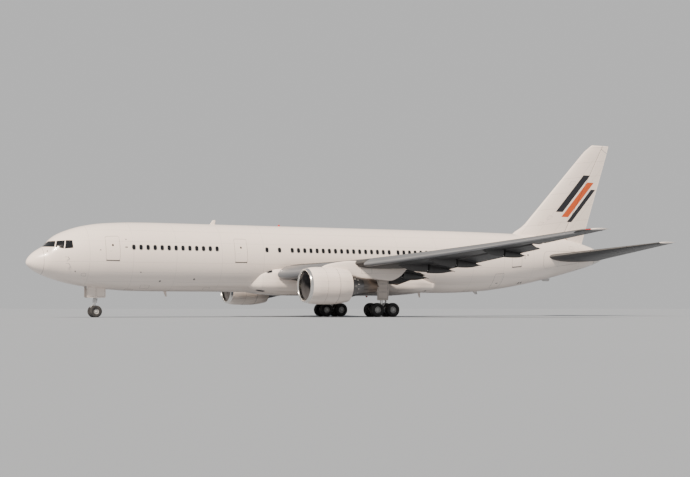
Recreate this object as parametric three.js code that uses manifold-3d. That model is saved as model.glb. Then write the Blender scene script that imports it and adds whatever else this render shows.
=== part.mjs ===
// A wide body twin-engine airliner as a 1:2 scale model, standing on its landing gear with take-off flap set.
// Frame: millimetres of the model, +Z up, nose towards -Y, port side +X, origin on the ground under the middle.
// Sizes are written as the real airliner's, in metres; a station is the distance aft of the nose tip.
import * as THREE from "three";
import { mergeVertices } from "three/addons/utils/BufferGeometryUtils.js";
import Module from "manifold-3d";

const wasm = await Module();
wasm.setup();

// Driving dimensions, in metres of the real airliner
const SCALE = 0.5;
const LENGTH = 54.94;
const HALF_SPAN = 23.785;
const SEAT = 0.0006; // gap between touching pieces, 0.3 mm on the model
const CLEAR = 0.012; // gap round a moving piece, 6 mm on the model
const HAIR = 0.1; // shortest edge kept in a mesh, in millimetres
const FAR = 6; // reach of a cutting shape beyond what it cuts

const FUSELAGE_SIDES = 24;
const RADOME_END = 1.1;
const CONE_START = 52.66;

// Fuselage sections: station, half width, crown height, keel height
const FUSELAGE = [
  [0.0, 0.06, 4.21, 4.09],
  [0.06, 0.27, 4.4, 3.98],
  [0.25, 0.52, 4.68, 3.78],
  [0.6, 0.82, 5.0, 3.52],
  [1.1, 1.12, 5.32, 3.27],
  [1.36, 1.25, 5.5, 3.16],
  [1.75, 1.42, 5.94, 3.01],
  [2.2, 1.59, 6.28, 2.87],
  [3.0, 1.85, 6.65, 2.65],
  [4.3, 2.16, 7.04, 2.4],
  [6.0, 2.4, 7.3, 2.2],
  [8.5, 2.505, 7.43, 2.05],
  [10.5, 2.515, 7.45, 2.03],
  [36.5, 2.515, 7.45, 2.03],
  [39.5, 2.5, 7.44, 2.14],
  [42.2, 2.4, 7.41, 2.4],
  [44.8, 2.18, 7.36, 2.8],
  [47.8, 1.75, 7.22, 3.42],
  [50.2, 1.24, 6.92, 3.98],
  [52.66, 0.66, 6.3, 4.66],
  [53.4, 0.46, 6.02, 4.93],
  [53.76, 0.33, 5.82, 5.1],
];

// Cockpit windows: side outlines of the panes from front to back in [station, height], and that of the part
// let in behind them
const COCKPIT_PANES = [
  [[1.0, 5.37], [1.84, 5.38], [1.96, 5.77], [1.3, 5.76]],
  [[1.93, 5.37], [2.47, 5.27], [2.6, 5.76], [2.05, 5.77]],
  [[2.55, 5.26], [3.1, 5.3], [3.04, 5.74], [2.68, 5.76]],
];
const COCKPIT_BAND = [
  [1.0, 5.35], [1.9, 5.355], [2.5, 5.245], [3.12, 5.28], [3.06, 5.76], [2.3, 5.785], [1.3, 5.78],
];
const CENTRE_POST = 0.035; // half width
const POST_DEPTH = 0.03;
const PANE_DEPTH = 0.06;

// Wing planform: span, leading edge station, trailing edge station, nose-up incidence in degrees,
// thickness / chord
const ROOT_SPAN = 2.62;
const WING = [
  [ROOT_SPAN, 20.03, 30.5, 3.0, 0.15],
  [5.2, 21.84, 30.62, 2.4, 0.133],
  [8.0, 23.8, 30.8, 1.6, 0.118],
  [13.0, 27.3, 32.63, 0.9, 0.11],
  [18.5, 31.16, 34.65, 0.2, 0.106],
  [23.25, 34.49, 36.39, -0.5, 0.1],
  [HALF_SPAN, 35.45, 36.6, -0.5, 0.08],
];
const WING_RISE = 0.0977; // rise of the leading edge per metre of span
const WING_FLEX = 0.8; // extra rise at the tip
const wingHeight = (span) => 3.333 + WING_RISE * span + WING_FLEX * (span / HALF_SPAN) ** 2;

// Tail planforms: span (height for the fin), leading edge, trailing edge, incidence, thickness / chord
const FIN = [
  [6.0, 43.9, 51.45, 0, 0.1],
  [7.35, 43.9, 51.92, 0, 0.1],
  [8.1, 45.2, 52.18, 0, 0.1],
  [15.2, 52.06, 54.66, 0, 0.1],
  [15.85, 52.95, 54.85, 0, 0.07],
];
const TAILPLANE = [
  [0.75, 45.63, 53.16, 0, 0.1],
  [1.9, 46.69, 53.39, 0, 0.1],
  [9.0, 53.2, 54.86, 0, 0.09],
  [9.31, 53.9, LENGTH, 0, 0.07],
];
const tailplaneHeight = (span) => 5.02 + 0.155 * span;

// Moving surfaces on a wing: hinge or nose line from inboard to outboard as [span, station]
const AILERON_INBOARD = { from: [7.3, 29.5], to: [8.45, 29.55] };
const AILERON_OUTBOARD = { from: [18.75, 33.84], to: [22.6, 35.42] };
const FLAP_DROP = 0.42; // depth of a flap's hinge below the wing
const FLAP_AHEAD = 0.34; // hinge ahead of the flap's nose
const FLAP_ARM = { halfWidth: 0.035, side: 0.035, halfDepth: 0.07, pin: 0.016 };
const FLAP_SET = 12; // degrees, take-off setting
const FLAP_NOSE_SHARE = 0.94; // of the depth under the shroud
const SHROUD = 0.11; // thickness of the fixed shroud and the spoiler on it
const FLAPS = {
  inboard: { from: [2.78, 28.8], to: [7.1, 28.9], shroud: 0.85, fairings: [6.7] },
  outboard: { from: [9.25, 29.294], to: [18.45, 33.3], shroud: 0.62, fairings: [9.7, 12.2, 16.2] },
};
const FAIRING_HALF_WIDTH = 0.17;
// Flap track fairing: distance aft of the flap's nose, depth below the wing
const FAIRING_FIXED = [[-2.6, 0.03], [-1.9, 0.3], [-1.0, 0.52], [-0.12, 0.6]];
const FAIRING_MOVING = [[0.03, 0.6], [0.6, 0.54], [1.4, 0.4]];
const FAIRING_TAIL = 0.55; // reach of the fairing's point behind the trailing edge
const FAIRING_TIP = 0.05; // least depth of a fairing

const SPOILERS = {
  inboard: { from: [3.1, 28.55], to: [6.85, 28.65], chord: 0.95 },
  outboard: { from: [9.6, 29.2], to: [18.0, 32.86], chord: 0.8 },
};
const SPOILER_THICKNESS = 0.05;
const SPOILER_FRONT_GAP = 0.035;

// Slats: span from and to, share of the local chord at the inboard and outboard ends
const SLATS = {
  inboard: { from: 2.68, to: 7.0, share: [0.085, 0.1] },
  outboard: { from: 9.0, to: 22.9, share: [0.115, 0.17] },
};
const SLAT_TRACKS = { inboard: [3.5, 6.4], outboard: [9.8, 13.2, 16.6, 20.0, 22.3] };
const SLAT_TURN = 16; // degrees, nose down
const SLAT_FORWARD = 0.3;
const SLAT_DOWN = 0.13;
const SLAT_SIDE = 0.05; // gap at each end
const FIXED_NOSE_BACK = 0.3; // share of the slat chord that stays free ahead of the fixed nose

// Engines
const ENGINE_X = 7.92;
const ENGINE_Z = 2.45;
const ENGINE_SIDES = 20;
const INLET = 19.53;
const FAN_COWL_START = 20.95;
const FAN_EXIT = 23.2;
const FAN_FACE = 20.72;
const FAN_RADIUS = 1.17;
const FAN_BLADES = 22;
const CORE_RADIUS = 0.5;
const SHAFT_RADIUS = 0.06;
const SHAFT_REACH = 0.14;
const SHAFT_PLAY = 0.0005;
const CORE_PLAY = 0.008;
// Pylon: half width, half width of its flat edges, side outline in [station, height]
const PYLON_HALF_WIDTH = 0.21;
const PYLON_EDGE = 0.11;
const PYLON_MIDDLE = [24.8, 3.8];
const PYLON = [
  [20.98, 3.84], [21.6, 4.12], [22.6, 4.32], [23.7, 4.42], [28.7, 4.3], [28.7, 3.8], [27.9, 3.15],
  [27.1, 2.86], [26.0, 2.95], [24.6, 2.95], [23.6, 3.2], [22.6, 3.3], [21.0, 3.3],
];

// Landing gear
const WHEEL_SIDES = 16;
const MAIN_X = 4.65;
const MAIN_S = 28.1;
const MAIN_TYRE = { radius: 0.584, halfWidth: 0.228, rim: 0.26, offset: 0.57 };
const BOGIE_BASE = 1.42;
const NOSE_S = 5.4;
const NOSE_TYRE = { radius: 0.47, halfWidth: 0.178, rim: 0.2, offset: 0.3 };
const flatDown = Math.cos(Math.PI / WHEEL_SIDES);
const MAIN_AXLE_Z = MAIN_TYRE.radius * flatDown;
const NOSE_AXLE_Z = NOSE_TYRE.radius * flatDown;

// Hinge pins and axles turn in bores with this play all round
const PIN_PLAY = 0.0005;
const HINGE_PIN = 0.015;
const SPOILER_PIN = 0.012;
const PIN_REACH = 0.06;
const PIN_SIDES = 8;
const bore = (radius, sides) => (radius + PIN_PLAY) / Math.cos(Math.PI / sides);

// Colours from the photograph: white paint, grey composite, bare metal, rubber
const finish = (color, roughness, metalness) => new THREE.MeshStandardMaterial({ color, roughness, metalness });
const WHITE = finish(0xe9dfd8, 0.35, 0.0);
const GREY = finish(0x8f9094, 0.45, 0.1);
const METAL = finish(0xb9b6b2, 0.25, 0.9);
const CORE_METAL = finish(0x6f6a69, 0.4, 0.8);
const HOT_METAL = finish(0x6d5442, 0.4, 0.8);
const DARK = finish(0x2a2b2e, 0.5, 0.3);
const RUBBER = finish(0x1b1b1d, 0.85, 0.0);
const STEEL = finish(0xa8a9ab, 0.35, 0.7);

const airliner = new THREE.Group();
const mm = (metres) => metres * 1000 * SCALE;
const radians = THREE.MathUtils.degToRad;
// A point of the model from span, station and height in the real airliner's metres.
const point = (x, station, z) => new THREE.Vector3(mm(x), mm(station - LENGTH / 2), mm(z));

// A closed geometry through rings of equally many points, its ends capped flat.
// With matched set, each four-sided face is split along its shorter diagonal, so that port and starboard match.
function loft(rings, matched = false) {
  const count = rings[0].length;
  const index = [];
  for (let ring = 0; ring < rings.length - 1; ring++) {
    for (let i = 0; i < count; i++) {
      const a = ring * count + i;
      const b = ring * count + ((i + 1) % count);
      const [near, far] = [rings[ring], rings[ring + 1]];
      const other = (i + 1) % count;
      if (!matched || near[i].distanceTo(far[other]) < near[other].distanceTo(far[i]) + 1e-3) {
        index.push(a, b, b + count, a, b + count, a + count);
      } else {
        index.push(a, b, a + count, b, b + count, a + count);
      }
    }
  }
  const ends = [[rings[0], 0, true], [rings.at(-1), (rings.length - 1) * count, false]];
  for (const [ring, start, reverse] of ends) {
    const normal = new THREE.Vector3();
    ring.forEach((p, i) =>
      normal.add(p.clone().sub(ring[0]).cross(ring[(i + 1) % count].clone().sub(ring[0]))));
    normal.normalize();
    const across = new THREE.Vector3(1, 0, 0);
    if (Math.abs(normal.x) > 0.7) across.set(0, 1, 0);
    across.cross(normal).normalize();
    const up = normal.clone().cross(across);
    const flat = ring.map((p) => new THREE.Vector2(p.dot(across), p.dot(up)));
    for (const [a, b, c] of THREE.ShapeUtils.triangulateShape(flat, [])) {
      if (reverse) index.push(start + a, start + c, start + b);
      else index.push(start + a, start + b, start + c);
    }
  }
  const geometry = new THREE.BufferGeometry();
  const places = rings.flat().flatMap((p) => p.toArray());
  geometry.setAttribute("position", new THREE.Float32BufferAttribute(places, 3));
  geometry.setIndex(index);
  return geometry;
}

// A manifold-3d solid from a closed three.js geometry, turned to face outwards.
function solid(geometry) {
  const bare = geometry.clone();
  bare.deleteAttribute("normal");
  bare.deleteAttribute("uv");
  const merged = mergeVertices(bare, 1e-3);
  const vertices = merged.attributes.position.array;
  const triangles = new Uint32Array(merged.index.array);
  const make = () =>
    new wasm.Manifold(new wasm.Mesh({ numProp: 3, vertProperties: vertices, triVerts: triangles }));
  const made = make();
  if (made.volume() > 0) return made;
  for (let i = 0; i < triangles.length; i += 3) {
    [triangles[i], triangles[i + 1]] = [triangles[i + 1], triangles[i]];
  }
  return make();
}

// The three.js geometry of a solid.
function geometryOf(body) {
  const mesh = body.getMesh();
  const geometry = new THREE.BufferGeometry();
  geometry.setAttribute("position", new THREE.Float32BufferAttribute(mesh.vertProperties, 3));
  geometry.setIndex(new THREE.BufferAttribute(mesh.triVerts, 1));
  return geometry;
}

const joined = (bodies) => bodies.reduce((sum, body) => sum.add(body));

// A geometry with its shortest edges closed up, so that no face is thinner than a hair.
function tidied(geometry) {
  const merged = mergeVertices(geometry, HAIR);
  const kept = [];
  const index = merged.index.array;
  for (let i = 0; i < index.length; i += 3) {
    const [a, b, c] = [index[i], index[i + 1], index[i + 2]];
    if (a !== b && b !== c && c !== a) kept.push(a, b, c);
  }
  merged.setIndex(kept);
  return merged;
}

function add(name, body, material) {
  const geometry = tidied(geometryOf(body));
  geometry.computeVertexNormals();
  const mesh = new THREE.Mesh(geometry, material);
  mesh.name = name;
  airliner.add(mesh);
}

// The same solid on the starboard side.
function mirrored(body) {
  const geometry = geometryOf(body);
  geometry.scale(-1, 1, 1);
  return solid(geometry);
}

function addPair(name, body, material) {
  add(name + "_left", body, material);
  add(name + "_right", mirrored(body), material);
}

// A solid turned by degrees about the line from a to b.
function turned(body, a, b, degrees) {
  const axis = b.clone().sub(a).normalize();
  const matrix = new THREE.Matrix4().makeTranslation(a.x, a.y, a.z);
  matrix.multiply(new THREE.Matrix4().makeRotationAxis(axis, radians(degrees)));
  matrix.multiply(new THREE.Matrix4().makeTranslation(-a.x, -a.y, -a.z));
  return solid(geometryOf(body).applyMatrix4(matrix));
}

function moved(body, x, station, z) {
  return solid(geometryOf(body).translate(mm(x), mm(station), mm(z)));
}

// A round bar between two points, with a radius in metres at each end.
function rod(a, b, radiusA, radiusB = radiusA, sides = 12) {
  const axis = b.clone().sub(a).normalize();
  const across = Math.abs(axis.z) < 0.9 ? new THREE.Vector3(0, 0, 1) : new THREE.Vector3(1, 0, 0);
  across.cross(axis).normalize();
  const up = axis.clone().cross(across);
  const ring = (centre, radius) =>
    Array.from({ length: sides }, (_, i) => {
      const angle = (2 * Math.PI * (i + 0.5)) / sides;
      const [right, high] = [mm(radius) * Math.cos(angle), mm(radius) * Math.sin(angle)];
      return centre.clone().addScaledVector(across, right).addScaledVector(up, high);
    });
  return solid(loft([ring(a, radiusA), ring(b, radiusB)]));
}

// A square bar at one span between two places given as [station, height, half depth].
function beam(span, halfWidth, ...ends) {
  const corners = [[-1, -1], [1, -1], [1, 1], [-1, 1]];
  return solid(loft(ends.map(([station, height, half]) =>
    corners.map(([x, z]) => point(span + x * halfWidth, station, height + z * half)))));
}

// A box between two corners given as [span, station, height].
function block(low, high) {
  const size = new THREE.Vector3(mm(high[0] - low[0]), mm(high[1] - low[1]), mm(high[2] - low[2]));
  const centre = point(low[0], low[1], low[2]).add(point(high[0], high[1], high[2])).multiplyScalar(0.5);
  return solid(new THREE.BoxGeometry(size.x, size.y, size.z).translate(centre.x, centre.y, centre.z));
}

// Fuselage rings from the table, cut to a range of stations and grown outwards.
function fuselageSection(station) {
  const after = Math.max(1, FUSELAGE.findIndex((row) => row[0] >= station));
  const [low, high] = [FUSELAGE[after - 1], FUSELAGE[after]];
  const share = (station - low[0]) / (high[0] - low[0]);
  return low.map((value, i) => value + (high[i] - value) * share);
}

function oval([station, halfWidth, crown, keel], grow, sides = FUSELAGE_SIDES) {
  const middle = (crown + keel) / 2;
  return Array.from({ length: sides }, (_, i) => {
    const angle = (2 * Math.PI * (i + 0.5)) / sides;
    const x = (halfWidth + grow) * Math.cos(angle);
    return point(x, station, middle + ((crown - keel) / 2 + grow) * Math.sin(angle));
  });
}

function fuselageSolid(from, to, grow = 0) {
  const inside = FUSELAGE.filter((row) => row[0] > from + 0.02 && row[0] < to - 0.02);
  const rows = [fuselageSection(from), ...inside, fuselageSection(to)];
  return solid(loft(rows.map((row) => oval(row, grow)), true));
}

// A wing, fin or tailplane: airfoil sections on a table of planform rows.
// place(span, station, height) gives the model's point; the height of the leading edge comes from rise(span).
const CHORD_SHARES = [0, 0.015, 0.06, 0.16, 0.34, 0.55, 0.76, 1];
const CAMBER = 0.014;
const EDGE_THICKNESS = 0.008;

function liftingSurface(table, place, rise, camber = CAMBER) {
  // Heights of the upper and lower skin at a share of the chord.
  const skin = ([span, leading, trailing, incidence, thickness], share) => {
    const chord = trailing - leading;
    const curve = 0.2969 * Math.sqrt(share) - 0.126 * share - 0.3516 * share ** 2
      + 0.2843 * share ** 3 - 0.1036 * share ** 4;
    const middle = rise(span)
      + chord * (camber * Math.sin(Math.PI * share) - share * Math.tan(radians(incidence)));
    const spread = Math.max(5 * thickness * curve * chord, share > 0.5 ? EDGE_THICKNESS : 0);
    return [middle + spread, middle - spread];
  };
  const rowAt = (span) => {
    const after = Math.min(table.length - 1, Math.max(1, table.findIndex((row) => row[0] >= span)));
    const [low, high] = [table[after - 1], table[after]];
    const share = (span - low[0]) / (high[0] - low[0]);
    return low.map((value, i) => value + (high[i] - value) * share);
  };
  const at = (span, station) => {
    const row = rowAt(span);
    return skin(row, Math.min(1, Math.max(0, (station - row[1]) / (row[2] - row[1]))));
  };
  const stationOf = (row, share) => row[1] + share * (row[2] - row[1]);
  const edge = (side) => (row, down = 0) =>
    CHORD_SHARES.map((share) => place(row[0], stationOf(row, share), skin(row, share)[side] - down));
  const [upper, lower] = [edge(0), edge(1)];
  const whole = solid(loft(table.map((row) => [...upper(row).reverse(), ...lower(row).slice(1)])));
  const slab = (skinLine, height) =>
    solid(loft(table.map((row) => {
      const base = rise(row[0]) + height;
      return [...skinLine(row), place(row[0], row[2] + 0.02, base), place(row[0], row[1] - 0.02, base)];
    })));
  return {
    whole,
    at,
    place,
    belowUpper: (depth) => slab((row) => upper(row, depth), -FAR),
    aboveUpper: (depth) => slab((row) => upper(row, depth), FAR),
    aboveLower: (depth) => slab((row) => lower(row, depth), FAR),
    // Everything over and under a polygon of [span, station]; its end walls lean to stay square to a
    // sloping axis.
    prism: (polygon, { along, slope, bases } = { along: [0, 0], slope: 0, bases: [0] }) =>
      solid(loft([-4, 20].map((height) =>
        polygon.map(([span, station], i) => {
          const shift = (bases[i % bases.length] - height) * slope;
          return place(span + along[0] * shift, station + along[1] * shift, height);
        })))),
  };
}

// Unit vectors along a hinge line and square to it, pointing aft.
function lineFrame(from, to) {
  const length = Math.hypot(to[0] - from[0], to[1] - from[1]);
  const along = [(to[0] - from[0]) / length, (to[1] - from[1]) / length];
  return { along, aft: [-along[1], along[0]] };
}

const offset = (start, along, distance, aft, back) => [
  start[0] + along[0] * distance + aft[0] * back,
  start[1] + along[1] * distance + aft[1] * back,
];

// The polygon behind a line, from one distance aft to another, lengthened at both ends.
function strip({ from, to }, front, back, grow = 0) {
  const { along, aft } = lineFrame(from, to);
  return [
    offset(from, along, -grow, aft, front),
    offset(to, along, grow, aft, front),
    offset(to, along, grow, aft, back),
    offset(from, along, -grow, aft, back),
  ];
}

// Pins at both ends of a hinge line, and the bores they turn in.
function hingePins([start, end], radius, reach = PIN_REACH) {
  const along = end.clone().sub(start).normalize();
  const bar = (centre, out, size) => {
    const half = along.clone().multiplyScalar(mm(out));
    return rod(centre.clone().sub(half), centre.clone().add(half), size, size, PIN_SIDES);
  };
  const at = (out, size) => bar(start, out, size).add(bar(end, out, size));
  return { pins: at(reach, radius), bores: at(reach + CLEAR, bore(radius, PIN_SIDES)) };
}

// How a sloping axis leans: its direction seen from above, its rise per metre, and the heights at a
// strip's corners.
function leanOf(from, to, [start, end]) {
  const { along } = lineFrame(from, to);
  const slope = (end - start) / Math.hypot(to[0] - from[0], to[1] - from[1]);
  return { along, slope, bases: [start, end, end, start] };
}

// A plain hinged surface with a round nose, and the bay that it turns in.
// Its ends are square to the hinge line, or lie between the two given spans.
const NOSE_SHARE = 0.9; // radius of the round nose, as a share of the half thickness at the hinge
const HINGE_SIDES = 12;

function hingedPanel(surface, line, endSpans = null, endClear = CLEAR) {
  const axis = [line.from, line.to].map(([span, station]) => {
    const [up, down] = surface.at(span, station);
    return { height: (up + down) / 2, half: (up - down) / 2 };
  });
  const hinge = [line.from, line.to].map(([span, station], i) => surface.place(span, station, axis[i].height));
  const reach = hinge[1].clone().sub(hinge[0]).multiplyScalar(0.1);
  const swell = 0.1 * (axis[0].half - axis[1].half);
  const nose = (share, grow) => {
    const ends = [hinge[0].clone().sub(reach), hinge[1].clone().add(reach)];
    const radius = (half) => (share * half + grow) / Math.cos(Math.PI / HINGE_SIDES);
    return rod(ends[0], ends[1], radius(axis[0].half + swell), radius(axis[1].half - swell), HINGE_SIDES);
  };
  const lean = leanOf(line.from, line.to, axis.map((end) => end.height));
  const trim = (grow) => {
    if (!endSpans) return surface.prism(strip(line, -2, FAR, grow), lean);
    const [low, high] = [endSpans[0] - grow, endSpans[1] + grow];
    return surface.prism([[low, 30], [high, 30], [high, 60], [low, 60]]);
  };
  const round = NOSE_SHARE * Math.cos(Math.PI / HINGE_SIDES);
  const panel = surface.prism(strip(line, 0, FAR, 1)).add(nose(round, 0)).intersect(trim(0));
  // The bay clears the panel's corners, which lie at the full half thickness from the hinge.
  const bay = surface.prism(strip(line, -CLEAR, FAR, 1)).add(nose(1, CLEAR)).intersect(trim(endClear));
  const { pins, bores } = hingePins(hinge, HINGE_PIN, endClear + PIN_REACH);
  return { moving: surface.whole.intersect(panel).add(pins), bay: bay.add(bores), hinge };
}

const lying = (span, station, height) => point(span, station, height);
const upright = (span, station, height) => point(height, station, span);
const wing = liftingSurface(WING, lying, wingHeight);
const fin = liftingSurface(FIN, upright, () => 0, 0);
const tailplane = liftingSurface(TAILPLANE, lying, tailplaneHeight, 0);

// A boat-shaped flap track fairing under the wing at one span, through rows of [distance aft, depth].
// Its sections are skewed as the flap's nose line is, aft per metre of span.
function trackFairing(span, nose, rows, top, skew) {
  const sides = 8;
  const size = Math.min(1, (wingEdge(span) - wingNose(span)[0]) / 6);
  return solid(loft(rows.map(([distance, share]) => {
    const station = nose + (distance < 0 ? distance * size : distance);
    const depth = share * (0.5 + 0.5 * size);
    const roof = top(station);
    const floor = Math.min(wing.at(span, station)[1] - depth, roof - FAIRING_TIP);
    const narrow = Math.min(1, 0.25 + depth * 1.6) * FAIRING_HALF_WIDTH;
    return Array.from({ length: sides }, (_, i) => {
      const angle = (2 * Math.PI * (i + 0.5)) / sides;
      const out = narrow * Math.cos(angle);
      const height = (roof + floor) / 2 + ((roof - floor) / 2) * Math.sin(angle);
      return point(span + out, station + skew * out, height);
    });
  })));
}

// A slotted flap with its moving fairing tails, and the bay under the fixed shroud.
function slottedFlap({ from, to, shroud, fairings }) {
  const line = { from, to };
  const { along, aft } = lineFrame(from, to);
  const noseEnds = [from, to].map(([span, station]) => {
    const [up, down] = wing.at(span, station);
    const radius = (FLAP_NOSE_SHARE * (up - SHROUD - CLEAR - down)) / 2;
    const [x, s] = offset([span, station], along, 0, aft, radius);
    return { radius, at: point(x, s, (wing.at(x, s)[0] - SHROUD - CLEAR + wing.at(x, s)[1]) / 2) };
  });
  const radius = Math.max(noseEnds[0].radius, noseEnds[1].radius);
  const reach = noseEnds[1].at.clone().sub(noseEnds[0].at).multiplyScalar(0.1);
  const swell = 0.1 * (noseEnds[0].radius - noseEnds[1].radius);
  const nose = rod(
    noseEnds[0].at.clone().sub(reach), noseEnds[1].at.clone().add(reach),
    noseEnds[0].radius + swell, noseEnds[1].radius - swell, 10,
  );
  const lean = leanOf(from, to, [from, to].map(([span, station]) => wing.at(span, station)[1]));
  const under = wing
    .prism(strip(line, radius, shroud + 1), lean)
    .add(nose.intersect(wing.prism(strip(line, -1, 2), lean)))
    .intersect(wing.belowUpper(SHROUD + CLEAR));
  const behind = wing.prism(strip(line, shroud + CLEAR, FAR), lean);
  let moving = wing.whole.intersect(under.add(behind));
  const bayUnder = wing.prism(strip(line, -CLEAR, shroud + 1, CLEAR), lean).intersect(wing.belowUpper(SHROUD));
  const bay = bayUnder.add(wing.prism(strip(line, shroud, FAR, CLEAR), lean));
  // The hinge line lies below and ahead of the flap's nose.
  const hinge = [from, to].map(([span, station]) => {
    const [x, s] = offset([span, station], along, 0, aft, -FLAP_AHEAD);
    return point(x, s, wing.at(span, station)[1] - FLAP_DROP);
  });
  const axis = hinge[1].clone().sub(hinge[0]);
  const { halfWidth, side, halfDepth, pin } = FLAP_ARM;
  const fixedFairings = [];
  const skew = (to[1] - from[1]) / (to[0] - from[0]);
  for (const span of fairings) {
    const noseStation = from[1] + (span - from[0]) * skew;
    const trailing = wingEdge(span);
    const middle = (station) => (wing.at(span, station)[0] + wing.at(span, station)[1]) / 2 - 0.01;
    // An arm of the flap turns on a pin that crosses a slot in the fixed half of the fairing.
    const pivot = hinge[0].clone().addScaledVector(axis, (mm(span) - hinge[0].x) / axis.x);
    const [station, height] = [pivot.y / mm(1) + LENGTH / 2, pivot.z / mm(1)];
    const cross = (reach, size) => {
      const half = axis.clone().setLength(mm(reach));
      return rod(pivot.clone().sub(half), pivot.clone().add(half), size, size, PIN_SIDES);
    };
    const slot = block(
      [span - halfWidth - side, station - halfDepth - 0.03, height - 1],
      [span + halfWidth + side, noseStation + 1, height + halfDepth + CLEAR],
    );
    const front = trackFairing(span, noseStation, FAIRING_FIXED, middle, skew);
    fixedFairings.push(front.subtract(slot).add(cross(0.11, pin)));
    const arm = beam(span, halfWidth, [station, height, halfDepth], [noseStation + 0.3, height, halfDepth])
      .add(cross(halfWidth, halfDepth));
    const tail = [...FAIRING_MOVING, [trailing + FAIRING_TAIL - noseStation, 0.05]];
    const step = (place) => (place < noseStation + shroud ? 0.06 : 0) + Math.max(0, place - trailing) * 0.12;
    const roof = (place) => middle(Math.min(place, trailing)) - step(place);
    const boat = trackFairing(span, noseStation, tail, roof, skew);
    moving = moving.add(boat).add(arm).subtract(cross(0.2, bore(pin, PIN_SIDES)));
  }
  return { moving, bay, fixedFairings, hinge };
}

function wingEdge(span) {
  const after = WING.findIndex((row) => row[0] >= span);
  const share = (span - WING[after - 1][0]) / (WING[after][0] - WING[after - 1][0]);
  return WING[after - 1][2] + (WING[after][2] - WING[after - 1][2]) * share;
}

function wingNose(span) {
  const after = WING.findIndex((row) => row[0] >= span);
  const share = (span - WING[after - 1][0]) / (WING[after][0] - WING[after - 1][0]);
  return [1, 2].map((column) =>
    WING[after - 1][column] + (WING[after][column] - WING[after - 1][column]) * share);
}

// A spoiler panel let into the shroud's upper face, and its pocket.
function spoilerPanel({ from, to, chord }) {
  const line = { from, to };
  const depthSlab = wing.aboveUpper(SPOILER_THICKNESS);
  const pocketSlab = wing.aboveUpper(SPOILER_THICKNESS + CLEAR);
  const lean = leanOf(from, to, [from, to].map(([span, station]) => wing.at(span, station)[0]));
  const moving = wing.whole.intersect(wing.prism(strip(line, 0, chord), lean)).intersect(depthSlab);
  const pocket = wing.prism(strip(line, -SPOILER_FRONT_GAP, chord + CLEAR, CLEAR), lean).intersect(pocketSlab);
  const hinge = [from, to].map(([span, station]) =>
    point(span, station, wing.at(span, station)[0] - SPOILER_THICKNESS / 2));
  const { pins, bores } = hingePins(hinge, SPOILER_PIN);
  return { moving: moving.add(pins), pocket: pocket.add(bores), hinge };
}

// A slat run out to its take-off place on its tracks, the cut for it, and the fixed nose behind it.
function slat({ from, to, share }, tracks) {
  const ends = [from, to].map((span, i) => {
    const [leading, trailing] = wingNose(span);
    return [span, leading + share[i] * (trailing - leading)];
  });
  const lineAt = (span) => ends[0][1] + ((ends[1][1] - ends[0][1]) * (span - from)) / (to - from);
  const region = (side, back, ahead = 1) =>
    wing.prism([
      [from - side, wingNose(from)[0] - ahead],
      [to + side, wingNose(to)[0] - ahead],
      [to + side, ends[1][1] + back],
      [from - side, ends[0][1] + back],
    ]);
  const between = WING.map((row) => row[0]).filter((span) => span > from + 0.3 && span < to - 0.3);
  const spans = [Math.max(ROOT_SPAN, from - SLAT_SIDE), ...between, to + SLAT_SIDE];
  // The fixed nose: a half ellipse behind the slat, a little less deep than the wing where the slat ends.
  const fixedNose = (grow) =>
    solid(loft(spans.map((span, i) => {
      const [leading, trailing] = wingNose(span);
      const line = lineAt(span);
      const chord = trailing - leading;
      const [up, down] = wing.at(span, line + 0.01 * chord);
      const x = span + (i === 0 ? -grow : i === spans.length - 1 ? grow : 0);
      const middle = (up + down) / 2 - 0.006 * chord;
      const half = (up - down) / 2 - 0.012 * chord;
      const reach = (line - leading) * (1 - FIXED_NOSE_BACK);
      const arc = Array.from({ length: 7 }, (_, k) => {
        const angle = Math.PI / 2 + (Math.PI * k) / 6;
        return point(x, line + (reach + grow) * Math.cos(angle), middle + (half + grow) * Math.sin(angle));
      });
      const back = line + 0.08;
      return [point(x, back, middle + half + grow), ...arc, point(x, back, middle - half - grow)];
    })));
  const shell = wing.whole.intersect(region(0, 0)).subtract(fixedNose(0.004));
  const pivots = ends.map(([span, line]) =>
    point(span, (wingNose(span)[0] + line) / 2, wing.at(span, line)[1]));
  let out = moved(turned(shell, pivots[0], pivots[1], SLAT_TURN), 0, -SLAT_FORWARD, -SLAT_DOWN);
  out = out.intersect(region(0, 3, 3));
  for (const span of tracks) {
    const leading = wingNose(span)[0];
    const line = lineAt(span);
    const [up, down] = wing.at(span, line);
    const middle = (up + down) / 2 - 0.04 * (line - leading);
    out = out.add(beam(span, 0.06, [leading - 0.28, middle - 0.14, 0.05], [line, middle, 0.2 * (up - down)]));
  }
  return { moving: out.subtract(fixedNose(SEAT)), cut: region(SLAT_SIDE, CLEAR), fixedNose: fixedNose(0) };
}

// Fuselage, radome and tail cone
const fuselageGrown = fuselageSolid(0.25, 53.6, SEAT);
add("radome", fuselageSolid(0, RADOME_END - SEAT), WHITE);
const exhaust = rod(point(0, 53.0, 5.42), point(0, 54.2, 5.48), 0.24, 0.24, 16);
add("tail_cone", fuselageSolid(CONE_START + SEAT, 53.76).subtract(exhaust), WHITE);

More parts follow.
